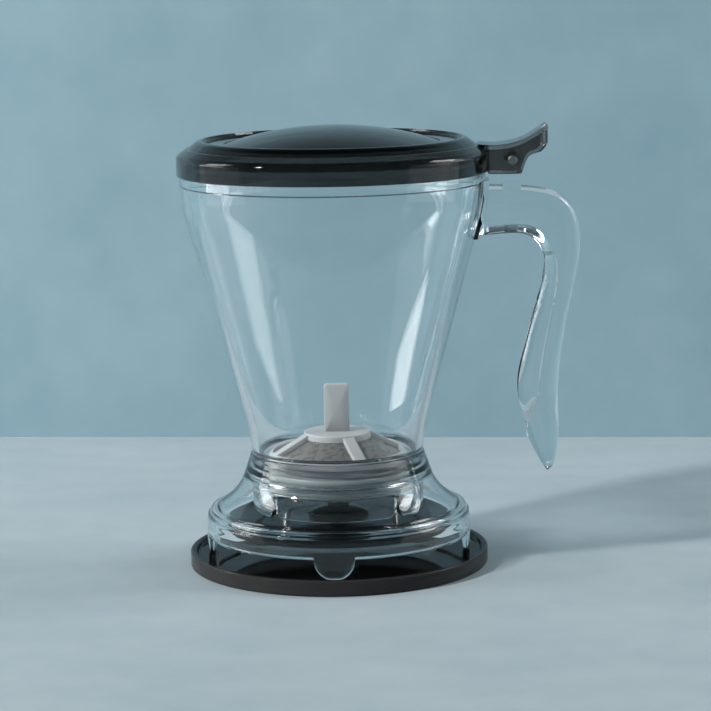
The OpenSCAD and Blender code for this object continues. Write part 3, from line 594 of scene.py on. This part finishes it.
# Drip sleeve. Clear ring pushed on under the neck, which clamps the outlet cup; below it ends in
# four petals with rounded corners and narrow slots between them, so the last tea runs off.
SLEEVE_Z, SLEEVE_R, SLEEVE_WALL, RING_Z, RING_BORE, LEDGE_Z = 22.7, 36.0, 2.2, 33.5, 29.6, 36.1
SLOT_HALF, PETAL_CORNER, SLOT_DEPTH = 1.0, 3.2, 10.0
slots = np.radians([45, 135, 225, 315])
SLEEVE_MID = SLEEVE_R - SLEEVE_WALL / 2
reach = SLOT_HALF + PETAL_CORNER
slot_side = SLOT_HALF / SLEEVE_MID
half_slot = np.array([0.4, 0.7, 0.9, 0.998, 1.002])
in_slot = slot_side * np.concatenate([-half_slot[::-1], [0], half_slot])
angles = np.sort(np.concatenate([spread_columns(240, slots, reach, SLEEVE_MID, 12),
                                 (slots[:, None] + in_slot).ravel()]) % (2 * np.pi))
offset = angle_to(angles, slots) * SLEEVE_MID
roof = SLEEVE_Z + SLOT_DEPTH - SLOT_HALF + np.sqrt(np.maximum(SLOT_HALF ** 2 - offset ** 2, 0))
corner_z = SLEEVE_Z + PETAL_CORNER - np.sqrt(np.maximum(PETAL_CORNER ** 2 - (reach - offset) ** 2, 0))
petal_z = np.where(offset < SLOT_HALF, roof, np.where(offset < reach, corner_z, SLEEVE_Z))
SLEEVE_IN_R = SLEEVE_R - SLEEVE_WALL
SLEEVE = [(RING_BORE, RING_Z, 0.3), (SLEEVE_IN_R, RING_Z, 0.2), (SLEEVE_IN_R, SLEEVE_Z, 0.6),
          (SLEEVE_R, SLEEVE_Z, 0.6), (SLEEVE_R, LEDGE_Z + 1.5, 0.4), (SPIGOT_R + 0.2, LEDGE_Z + 1.5, 0.3),
          (SPIGOT_R + 0.2, LEDGE_Z - 0.1, 0.2), (RING_BORE, LEDGE_Z - 0.1, 0.3)]
petals = cut_lower_edge(wall_points(SLEEVE, angles), petal_z, SLEEVE_Z, 0.7, RING_Z - 0.3)
sleeve = surface("drip_ring", petals)
sleeve.data.materials.append(clear_skirt)
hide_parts("drip_sleeve")
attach(sleeve, "pot")

# Jug. Thick clear wall, moulded in one: spigot, short neck, tall cone, straight mouth with a rim,
# the upstand that the lid drops over, and a flat pad on the right that carries the handle.
NECK_Z, CONE_Z, MOUTH_Z, RIM_Z, RIM_TOP = 48.9, 55.7, 153.1, 161.7, 165.4
MOUTH_R, RIM_R, JUG_WALL, NECK_BEND, MOUTH_BEND = 63.3, 63.6, 2.9, 10.0, 9.0
UPSTAND_R, UPSTAND_IN_R, UPSTAND_TOP = 61.4, 60.0, 168.4
SPIGOT_IN_R, GASKET_Z, LEDGE_R = 31.4, 37.9, 29.2
PAD_W, PAD_FOOT, PAD_HEAD = 19.0, np.array([61.8, 137.6]), np.array([65.0, 161.7])
cone_slope = (MOUTH_R - NECK_R) / (MOUTH_Z - CONE_Z)


def jug_side(inset):
    """The jug's wall from neck to mouth, moved inwards by inset: two bends joined by the cone."""
    return (bow((NECK_R - inset, CONE_Z - 6), (NECK_R - inset, CONE_Z),
                (NECK_R - inset + cone_slope * NECK_BEND, CONE_Z + NECK_BEND), 12)
            + bow((MOUTH_R - inset - cone_slope * MOUTH_BEND, MOUTH_Z - MOUTH_BEND),
                  (MOUTH_R - inset, MOUTH_Z), (MOUTH_R - inset, MOUTH_Z + 7.2), 12))


def pad_x(z):
    """The leaning plane on which pad and handle meet: x grows evenly with z."""
    return PAD_FOOT[0] + (z - PAD_FOOT[1]) * (PAD_HEAD[0] - PAD_FOOT[0]) / (PAD_HEAD[1] - PAD_FOOT[1])


outer = jug_side(0)
below = [c for c in outer if c[1] < PAD_FOOT[1]]
r_at = lambda z: np.interp(z, [c[1] for c in outer], [c[0] for c in outer])
pad_rows = [(r_at(z), z, 0) for z in PAD_FOOT[1] + np.array([-1.2, -0.4, -0.05, 0.05, 0.5, 2])]
above = [c for c in outer if c[1] > PAD_FOOT[1] + 2.2]
JUG = ([(SPIGOT_R, LEDGE_Z, 0.3), (SPIGOT_R, NECK_Z + 0.05, 0.3), (NECK_R - 0.1, NECK_Z + 0.05, 0.5)]
       + below + pad_rows + above
       + [(MOUTH_R, RIM_Z - 0.5, 0.1), (RIM_R, RIM_Z, 0.3), (RIM_R, RIM_TOP - 0.05, 0.5),
          (UPSTAND_R, RIM_TOP - 0.05, 0.2), (UPSTAND_R, UPSTAND_TOP, 0.5),
          (UPSTAND_IN_R, UPSTAND_TOP, 0.5), (UPSTAND_IN_R, RIM_TOP - 0.6, 0.3)]
       + jug_side(JUG_WALL)[::-1]
       + [(NECK_R - JUG_WALL, NECK_Z + 1.2, 0.4), (SPIGOT_IN_R, NECK_Z - 0.6, 0.4),
          (SPIGOT_IN_R, GASKET_Z, 0.2), (LEDGE_R, GASKET_Z, 0.3), (LEDGE_R, LEDGE_Z, 0.3)])
half_pad = PAD_W / 2
PAD_R = 63.0
pad_edges = np.array([-1.004, -0.996, -0.97, -0.9, 0.9, 0.97, 0.996, 1.004]) * half_pad / PAD_R
angles = np.sort(np.concatenate([np.arange(320) / 320 * 2 * np.pi + 0.001, pad_edges % (2 * np.pi)]))
points = wall_points(JUG, angles)
outline_r = np.hypot(points[..., 0], points[..., 1])
z = points[..., 2]
y = np.abs(points[..., 1])
on_pad = ((points[..., 0] > 0) & (y < half_pad) & (z > PAD_FOOT[1]) & (z < RIM_Z + 0.1)
          & (outline_r > r_at(np.clip(z, 60, 165)) - 0.6))
push = np.where(on_pad, np.maximum(pad_x(z) - points[..., 0], 0), 0)
points[..., 0] += push
jug = surface("jug_wall", points)
jug.data.set_sharp_from_angle(angle=math.radians(50))
jug.data.materials.append(clear_body)
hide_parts("vessel")
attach(jug, "pot")

# Handle. A solid clear bar glued to the jug's pad: a level arm, a tight bend and a long grip that
# sweeps in and out to a pointed tip, with a groove along its inner side and the hinge post standing
# on the arm. A row of GRIP holds the outer edge and the inner edge, each as the way out from the rim
# and down from the arm's top, and the share of the full width.
ARM_TOP, ARM_H, GRIP_W, POST_W, POST_X, POST_FOOT = 159.5, 21.4, 16.4, 14.4, 70.4, 151.0
PIN_X, PIN_Z, KNUCKLE_R = 74.6, 170.1, 3.5
GRIP = np.array([
    [19.4, 1, 12.4, 20.5, 1], [31.6, 5, 18.9, 22.8, 1], [38.1, 15.2, 22.6, 28.2, 1],
    [38.2, 32.4, 23.3, 37.4, 0.96], [32, 63.2, 16.2, 63, 0.92], [29.5, 85.4, 11.5, 84.4, 0.96],
    [29.7, 103.4, 15.2, 103.4, 0.9], [28, 116.8, 21.3, 116.2, 0.62], [25.4, 120.8, 24.6, 120.9, 0.2]])
GLUE = 0.12
root = [pad_x(ARM_TOP) - RIM_R + GLUE, 0, pad_x(ARM_TOP - ARM_H) - RIM_R + GLUE, ARM_H, 1]


def through(points, per):
    """Smooth line through points, per steps between each two: the Catmull-Rom curve
    (2q + (r-p)t + (2p-5q+4r-s)t^2 + (3q-p-3r+s)t^3) / 2 of four neighbours p, q, r, s."""
    points = np.asarray(points, float)
    last = len(points) - 1
    i = np.arange(last)
    p, q, r, s = (points[np.clip(i + k, 0, last)][:, None] for k in (-1, 0, 1, 2))
    t = (np.arange(per) / per)[None, :, None]
    run = (2 * q + (r - p) * t + (2 * p - 5 * q + 4 * r - s) * t ** 2 + (3 * q - p - 3 * r + s) * t ** 3) / 2
    return np.concatenate([run.reshape(-1, points.shape[1]), points[-1:]])


def with_ends(rings):
    """Closes a row of rings with a point at each end."""
    return np.concatenate([rings[:1].mean(axis=1, keepdims=True).repeat(rings.shape[1], 1), rings,
                           rings[-1:].mean(axis=1, keepdims=True).repeat(rings.shape[1], 1)])


def united(name, *pieces):
    """One watertight moulding from overlapping closed pieces."""
    base = pieces[0]
    for other in pieces[1:]:
        cut = base.modifiers.new("join", "BOOLEAN")
        cut.operation, cut.solver, cut.object = "UNION", "EXACT", other
    mesh = bpy.data.meshes.new_from_object(base.evaluated_get(bpy.context.evaluated_depsgraph_get()))
    mesh.name = name
    whole = bpy.data.objects.new(name, mesh)
    scene.collection.objects.link(whole)
    for piece in pieces:
        bpy.data.objects.remove(piece)
    mesh.shade_smooth()
    mesh.set_sharp_from_angle(angle=math.radians(38))
    return whole


rows = through(np.concatenate([[root], GRIP]), 12)
turn = np.linspace(0, 2 * np.pi, 72, endpoint=False)
share = np.linspace(0, 1, len(rows))[:, None]
power = 0.50 + 0.5 * share ** 2
soft_cos = np.sign(np.cos(turn)) * np.abs(np.cos(turn)) ** power
soft_sin = np.sign(np.sin(turn)) * np.abs(np.sin(turn)) ** power
fade = np.clip(share / 0.015, 0, 1) * np.clip((0.79 - share) / 0.10, 0, 1)
depth = 0.44 + 0.7 * np.clip((share - 0.36) / 0.16, 0, 1)
groove = depth * fade * np.clip((0.66 - np.abs(soft_sin)) / 0.16, 0, 1) * (np.cos(turn) < 0)
outer_edge, inner_edge, width = rows[:, 0:2], rows[:, 2:4], rows[:, 4] * GRIP_W
mid, half = (outer_edge + inner_edge) / 2, (outer_edge - inner_edge) / 2
across = mid[:, None] + half[:, None] * (soft_cos + groove)[..., None]
rings = np.stack([RIM_R + across[..., 0], width[:, None] / 2 * soft_sin, ARM_TOP - across[..., 1]], axis=-1)
grip = surface("grip", with_ends(rings), along=False)
knuckle = [(PIN_X + KNUCKLE_R * math.cos(a), PIN_Z + KNUCKLE_R * math.sin(a), 0)
           for a in np.linspace(0, np.radians(165), 24)]
upright = lambda x, y, t: np.stack([x, t, y], axis=-1)
post = bar("post", [(POST_X, POST_FOOT, 0.5), (PIN_X + KNUCKLE_R, POST_FOOT, 0.5)] + knuckle
           + [(POST_X, PIN_Z - 1.2, 0.8)], -POST_W / 2, POST_W / 2, upright)
handle = united("handle_bar", grip, post)
handle.data.materials.append(clear_body)
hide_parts("handle")
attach(handle, "pot")

# Lid. One dark smoky moulding: straight side, sloping shoulder, raised lip, sunk ring and dome,
# and a curved thumb lever on the right whose two ears hold the hinge pin.
LID_R, LID_WALL, SIDE_Z, LIP_Z, LIP_R = 64.8, 2.2, 172.9, 179.8, 54.4
DOME_R, DOME_Z, DOME_H, LEVER_W, LEVER_WALL = 44.4, 178.0, 7.0, 19.0, 2.0


def dome(radius, height, foot):
    """Shallow dome: height times (1 - t^2) above its foot at the share t of its radius."""
    t = np.linspace(0, 1, 32)
    return np.column_stack([radius * t, foot + height * (1 - t ** 2), 0 * t]).tolist()


LID_FOOT = RIM_TOP + 0.12
LID = (dome(DOME_R, DOME_H, DOME_Z)
       + [(DOME_R + 0.6, DOME_Z - 0.2, 0.3), (LIP_R - 1.2, LIP_Z - 1.3, 0.4)]
       + bow((LIP_R - 0.6, LIP_Z - 0.1), (LIP_R + 0.6, LIP_Z + 0.2), (LIP_R + 2.4, LIP_Z - 0.9), 6)
       + [(LID_R - 5, SIDE_Z + 3.6, 0.4), (LID_R - 4.4, SIDE_Z + 3.6, 0.3), (LID_R - 1.7, SIDE_Z + 1.9, 0.3)]
       + bow((LID_R - 1.6, SIDE_Z + 1.85), (LID_R, SIDE_Z + 0.7), (LID_R, SIDE_Z - 0.6), 8)
       + [(LID_R, LID_FOOT, 0.3), (LID_R - LID_WALL, LID_FOOT, 0.3), (LID_R - LID_WALL, SIDE_Z - 0.8, 1.2),
          (LIP_R + 1.2, LIP_Z - LID_WALL - 0.9, 1.2), (LIP_R - 1, DOME_Z - LID_WALL + 0.1, 0.5),
          (DOME_R, DOME_Z - LID_WALL, 0)]
       + dome(DOME_R - 1, DOME_H, DOME_Z - LID_WALL)[::-1])
shell = turned("shell", LID, columns=320)

LEVER_TOP = np.array([[-7.6, 13.1], [-4.2, 11.7], [0, 11.2], [5, 11.1], [10.3, 11.8], [15.3, 13.4],
                      [19.9, 15.8], [24.4, 19]]) + [RIM_R, RIM_TOP]
EAR = np.array([[1.1, 0.2], [2, -0.9], [13.6, -0.9], [15.2, 0.5], [16.1, 3.4], [17.8, 6.3], [20.3, 7.5],
                [23.2, 8.3], [25.3, 10.5], [25.9, 10.7]]) + [RIM_R, RIM_TOP]
TIP_X, TIP_CORNER, TIP_TOP = RIM_R + 25.9, 6.0, 184.0
top_line = np.concatenate([through(LEVER_TOP, 8), [[TIP_X - 0.5, TIP_TOP + 0.45], [TIP_X, TIP_TOP]]])
ear_line = through(EAR, 6)


def lever_plan(inset):
    """The lever's edge seen from above, from the lid out along one side, round the tip and back:
    straight sides at half the width and two quarter circles at the tip."""
    start = RIM_R - 3.0
    half, corner = LEVER_W / 2 - inset, max(TIP_CORNER - inset, 0.5)
    bend = np.linspace(0, np.pi / 2, 14)
    x = np.concatenate([np.linspace(start, TIP_X - TIP_CORNER, 40)[:-1],
                        TIP_X - inset - corner + corner * np.sin(bend)])
    y = np.concatenate([np.full(39, half), half - corner + corner * np.cos(bend)])
    return np.concatenate([np.column_stack([x, y]), np.column_stack([x, -y])[::-1]])


top_at = lambda x: np.interp(x, top_line[:, 0], top_line[:, 1])
ear_at = lambda x: np.interp(x, ear_line[:, 0], ear_line[:, 1])
spine_of = lambda plan: np.column_stack([np.minimum(plan[:, 0], TIP_X - TIP_CORNER), 0 * plan[:, 1]])
toward = lambda plan, other, share: plan + (other - plan) * share


def on_top(plan, drop=0):
    """Row of the lever's skin: a plan line, by drop under the lever's top line."""
    return np.column_stack([plan, top_at(plan[:, 0]) - drop])


edge_out, edge_in = lever_plan(0), lever_plan(LEVER_WALL)
spine, spine_in = spine_of(edge_out), spine_of(edge_in)
top_z, under_top = top_at(edge_out[:, 0]), top_at(edge_in[:, 0]) - LEVER_WALL
low_z = np.maximum(np.minimum(ear_at(edge_out[:, 0]), top_z - 3), RIM_TOP - 0.9)
lever_rows = [on_top(toward(edge_out, spine, s)) for s in (1.0, 0.8, 0.6, 0.4, 0.2, 0.12, 0.07)]
lever_rows += [on_top(toward(edge_out, spine, 0.02), 0.15), on_top(edge_out, 0.5), on_top(edge_out, 1.2)]
lever_rows += [np.column_stack([edge_out, top_z * (1 - s) + low_z * s - 0.6 * (1 - s)])
               for s in (0.3, 0.6, 0.85, 0.97)]
lever_rows += [np.column_stack([toward(edge_out, edge_in, s), low_z]) for s in (0.15, 0.85)]
lever_rows += [np.column_stack([edge_in, under_top * (1 - s) + low_z * s])
               for s in (0.97, 0.85, 0.6, 0.3, 0.03)]
lever_rows += [on_top(toward(edge_in, spine_in, s), LEVER_WALL) for s in (0.05, 0.3, 0.6, 1.0)]
lever = surface("lever", np.stack(lever_rows), around=False, along=False, fill=True)
lid = united("lid_shell", shell, lever)
LID_TINT, LEVER_TINT = (0.092, 0.084, 0.081, 1.0), (0.34, 0.315, 0.30, 1.0)
smoke = plastic("smoke_lid", LID_TINT, 0.01, haze=0.03, clear=1.0, gloss=0.2, relief=0.00005,
                shadow=(0.45, 0.44, 0.43))
other_tint(smoke, LEVER_TINT, 0.0652)
lid.data.materials.append(smoke)
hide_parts("lid")
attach(lid, "lid")

# Hinge pin and the valve's small metal parts. Drawn stainless steel: satin for the pin in the hinge
# post, ground bright for the stem with its round head, the washer under it and the nut below the hub.


def steel(name, colour, roughness):
    """Stainless steel with fine turning lines and a little uneven polish."""
    material, nodes, link, body, skin = skinned(name, roughness, haze=0.15, scratch=1.0)
    emboss(nodes, link, body, skin.outputs["Height"], strength=0.3, distance=0.00005)
    put(body, Base_Color=colour, Metallic=1.0)
    return material


def dress(node, material):
    """Gives a CAD node its material."""
    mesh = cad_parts[node].data
    mesh.materials.clear()
    mesh.materials.append(material)


bright_steel = steel("bright_steel", srgb(200, 202, 204), 0.16)
for node in ("stopper_washer", "valve_stem", "stem_nut"):
    dress(node, bright_steel)
dress("hinge_pin", steel("satin_steel", srgb(128, 136, 138), 0.36))

# Outlet cup, its seals, stopper and bush. A grey translucent bowl hangs under the filter; a soft
# silicone stopper closes the hole in its floor, and the stem slides in a slippery bush. The flat
# seal in the collar is clear.
CUP_Z, CUP_FLANGE_Z, CUP_TOP, CUP_R, SEAT_Z = 28.9, 38.7, 40.3, 29.0, 30.7
OUTLET_R, BOSS_R, BUSH_R = 8.0, 4.4, 2.9
bowl = turned("bowl", [(OUTLET_R, SEAT_Z, 0.4), (OUTLET_R, CUP_Z, 0.4)]
              + bow((17, CUP_Z), (CUP_R - 0.4, CUP_Z + 0.4), (CUP_R, CUP_FLANGE_Z - 2), 14)
              + [(CUP_R, CUP_FLANGE_Z + 0.02, 0.2), (BORE_R - 0.2, CUP_FLANGE_Z + 0.02, 0.3),
                 (BORE_R - 0.2, CUP_TOP - 0.03, 0.3), (CUP_R - 1.7, CUP_TOP - 0.03, 0.4)]
              + bow((CUP_R - 1.7, CUP_FLANGE_Z - 2), (CUP_R - 2.3, SEAT_Z + 0.2), (15.5, SEAT_Z), 14))
boss = turned("boss", [(BUSH_R + 0.02, CUP_Z, 0.2), (BOSS_R, CUP_Z, 0.3), (BOSS_R, CUP_Z + 1.6, 0.3),
                       (BUSH_R + 0.02, CUP_Z + 1.6, 0.2)], columns=96)
spider = spokes("spoke", [30, 150, 270], section(1.8, CUP_Z, CUP_Z + 1.5, 0.3, 0.3),
                BOSS_R - 0.6, OUTLET_R + 0.5)
cup = joined("outlet_cup", bowl, boss, *spider)
frosted = plastic("frosted_plastic", srgb(236, 233, 230), 0.24, haze=0.10, relief=0.00005, clear=0.1,
                  dust=0.05, shadow=(0.5, 0.5, 0.5))
cup.data.materials.append(frosted)
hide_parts("valve_cup")
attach(cup, "pot")


def soft_rubber(name, colour, roughness):
    """Silicone: matt, slightly see-through near its surface, with a fine cloudy tone."""
    material, nodes, link, body, skin = skinned(name, roughness, haze=0.2, scratch=0.0)
    tone = colour_mix(nodes, colour, tuple(0.8 * c for c in colour[:3]) + (1.0,))
    link(skin.outputs["Height"], tone.inputs["Factor"])
    link(tone.outputs[COLOR_OUT], body.inputs["Base Color"])
    put(body, Subsurface_Weight=0.3, Subsurface_Scale=0.002)
    return material


pale_silicone = soft_rubber("pale_silicone", srgb(214, 214, 210), 0.45)
for node in ("cup_gasket", "stopper"):
    dress(node, pale_silicone)
dress("filter_seal", soft_rubber("grey_silicone", srgb(150, 150, 152), 0.45))
dress("stem_bush", soft_rubber("slippery_bush", srgb(232, 230, 222), 0.3))
seal = turned("clear_seal", [(SPIGOT_R + 0.25, COLLAR_TOP - 0.03, 0), (NECK_R - 0.15, COLLAR_TOP - 0.03, 0),
                             (NECK_R - 0.15, NECK_Z + 0.08, 0), (SPIGOT_R + 0.25, NECK_Z + 0.08, 0)])
seal.data.set_sharp_from_angle(angle=math.radians(40))
seal.data.materials.append(clear_skirt)
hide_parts("collar_seal")
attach(seal, "pot")

# Release plate and hub. Glossy black plate that the rim of a cup pushes up, and the lens-shaped
# hub plugged into it, which holds the stem and the foot of the return spring.
PLATE_Z, PLATE_TOP, PLATE_R, PLATE_RIM_H, PLUG_R, LENS_R, HUB_R = 16.7, 18.5, 46.5, 3.3, 9.0, 13.0, 4.6
plate = turned("cup_plate", [
    (PLUG_R, PLATE_Z, 0.2), (PLATE_R, PLATE_Z, 0.9), (PLATE_R, PLATE_Z + PLATE_RIM_H, 0.6),
    (PLATE_R - 1.6, PLATE_Z + PLATE_RIM_H, 0.4), (PLATE_R - 2.7, PLATE_TOP, 0.6), (PLUG_R, PLATE_TOP, 0.2)])
BLACK = (0.006, 0.0065, 0.007, 1.0)
black = plastic("black_plastic", BLACK, 0.08, haze=0.06, dust=0.02, scratch=0.5, gloss=0.12)
plate.data.materials.append(black)
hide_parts("release_plate")
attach(plate, "valve")
STEM_R, HEAD_R, HUB_FLOOR, HUB_SEAT, HUB_TOP, SPRING_BORE = 1.9, 3.4, 18.4, 19.6, 24.3, 3.6
hub = turned("hub_lens", [(STEM_R + 0.02, HUB_FLOOR, 0.1), (HEAD_R + 0.9, HUB_FLOOR, 0.2),
                          (HEAD_R + 0.9, PLATE_Z, 0.2), (PLUG_R - 0.1, PLATE_Z, 0.2),
                          (PLUG_R - 0.1, PLATE_TOP + 0.03, 0.1), (LENS_R, PLATE_TOP + 0.03, 0.2),
                          (LENS_R, PLATE_TOP + 1, 0)]
             + bow((LENS_R, PLATE_TOP + 1.6), (LENS_R - 5, PLATE_TOP + 3.9), (HUB_R, PLATE_TOP + 4.1), 12)
             + [(HUB_R, HUB_TOP, 0.3), (SPRING_BORE, HUB_TOP, 0.3), (SPRING_BORE, HUB_SEAT, 0.2),
                (STEM_R + 0.02, HUB_SEAT, 0.1)], columns=160)
hub.data.materials.append(black)
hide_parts("release_hub")
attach(hub, "valve")

# Return spring. Bright drawn wire wound in four open curls, flat at both ends; it pushes the plate
# down and so keeps the stopper on its seat.
WIRE_R, COIL_R, CURLS, COIL_GAP = 0.3, 3.0, 4, 0.05


def wire(name, path, radius, sides=12):
    """Round wire along a path: the point plus radius (side cos b + up sin b), with side pointing
    away from the Z axis and up square to it and to the path."""
    along = np.gradient(path, axis=0)
    along /= np.linalg.norm(along, axis=1, keepdims=True)
    side = path * [1, 1, 0]
    side /= np.linalg.norm(side, axis=1, keepdims=True)
    side -= (side * along).sum(axis=1, keepdims=True) * along
    side /= np.linalg.norm(side, axis=1, keepdims=True)
    up = np.cross(along, side)
    b = np.arange(sides) / sides * 2 * np.pi
    round_it = side[:, None] * np.cos(b)[None, :, None] + up[:, None] * np.sin(b)[None, :, None]
    return surface(name, with_ends(path[:, None] + radius * round_it), along=False)


share = np.linspace(0, 1, 320)
angle = (CURLS + 1.0) * 2 * np.pi * share
rise = np.clip((share - 0.1) / 0.8, 0, 1)
coil_low, coil_high = HUB_SEAT + WIRE_R + COIL_GAP, CUP_Z - WIRE_R - COIL_GAP
coil_z = coil_low + (coil_high - coil_low) * rise
coil = wire("spring_wire", np.column_stack([COIL_R * np.cos(angle), COIL_R * np.sin(angle), coil_z]), WIRE_R)
coil.data.materials.append(bright_steel)
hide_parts("return_spring")
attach(coil, "pot")
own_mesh(coil)

# Tea filter. Pale grey translucent frame, with a band, four sloping ribs, a flat top and a tab to
# lift it by, over a cone of fine woven mesh that is welded in under the ribs.
FILTER_Z, FILTER_SHOULDER, FILTER_TOP, FILTER_R, TOP_R = 40.3, 47.7, 55.7, 28.9, 14.1
BAND_WALL, RIB_W, RIB_T, TAB_W, TAB_T, TAB_TOP = 1.8, 5.0, 2.0, 10.6, 3.6, 76.8
cone_drop = (FILTER_TOP - FILTER_SHOULDER) / (FILTER_R - TOP_R)
cone_at = lambda r: FILTER_TOP - (r - TOP_R) * cone_drop
band_in = FILTER_R - BAND_WALL
band = turned("band", [(band_in, FILTER_Z, 0.3), (FILTER_R, FILTER_Z, 0.4), (FILTER_R, FILTER_SHOULDER, 0.5),
                       (band_in, cone_at(band_in), 0.3)])
top = turned("top", [(0, FILTER_TOP - RIB_T, 0), (TOP_R, FILTER_TOP - RIB_T, 0.3),
                     (TOP_R, FILTER_TOP + 0.9, 0.6), (0, FILTER_TOP + 0.9, 0)], columns=160)
ribs = spokes("rib", 22 + np.arange(0, 360, 90), section(RIB_W, -RIB_T, 0.25, 0.4, 0.5),
              TOP_R - 1, band_in + 0.8, cone_at)
tab = bar("tab", section(TAB_W, FILTER_TOP, TAB_TOP, 0.1, 1.4), -TAB_T / 2, TAB_T / 2, upright)
filter_body = joined("filter_body", band, top, *ribs, tab)
filter_plastic = plastic("filter_plastic", srgb(226, 224, 223), 0.30, haze=0.10, relief=0.00005,
                         clear=0.08, dust=0.05, shadow=(0.35, 0.35, 0.35))
filter_body.data.materials.append(filter_plastic)
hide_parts("filter_frame")
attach(filter_body, "filter")

MESH_T, MESH_R = 0.6, band_in - 0.1
drop = RIB_T + 0.1
weave = turned("filter_gauze", [
    (TOP_R - 2, FILTER_TOP - drop - MESH_T, 0.1), (TOP_R, FILTER_TOP - drop - MESH_T, 0.2),
    (MESH_R, cone_at(MESH_R) - drop - MESH_T, 0.1), (MESH_R, cone_at(MESH_R) - drop, 0.1),
    (TOP_R, FILTER_TOP - drop, 0.2), (TOP_R - 2, FILTER_TOP - drop, 0.1)])


def gauze(name, colour):
    """Woven mesh: two sets of threads cross on the cloth, the holes between them let light through,
    and crushed cells glint here and there."""
    material, nodes, link, body = shader(name)
    where = nodes.new("ShaderNodeTexCoord")
    threads = []
    for angle in (0.0, math.pi / 2):
        turned_to, wave = nodes.new("ShaderNodeMapping"), nodes.new("ShaderNodeTexWave")
        put(turned_to, Rotation=(0, 0, angle + 0.3))
        put(wave, Scale=420.0)
        link(where.outputs["Object"], turned_to.inputs["Vector"])
        link(turned_to.outputs[0], wave.inputs["Vector"])
        threads.append(wave.outputs[1])
    alpha, crush, glint = (nodes.new("ShaderNodeMapRange"), nodes.new("ShaderNodeTexNoise"),
                           nodes.new("ShaderNodeMapRange"))
    put(alpha, From_Min=0.35, From_Max=0.6, To_Min=0.55)
    link(greater(nodes, link, *threads), alpha.inputs["Value"])
    link(alpha.outputs[0], body.inputs["Alpha"])
    put(crush, Scale=420.0, Detail=6.0)
    link(where.outputs["Object"], crush.inputs["Vector"])
    put(glint, From_Min=0.45, From_Max=0.62, To_Min=0.45, To_Max=0.12)
    link(crush.outputs[0], glint.inputs["Value"])
    link(glint.outputs[0], body.inputs["Roughness"])
    emboss(nodes, link, body, crush.outputs[0], strength=0.5, distance=0.0003)
    put(body, Base_Color=colour, Metallic=0.35)
    return material


weave.data.materials.append(gauze("woven_mesh", srgb(148, 143, 140)))
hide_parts("filter_mesh")
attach(weave, "filter")
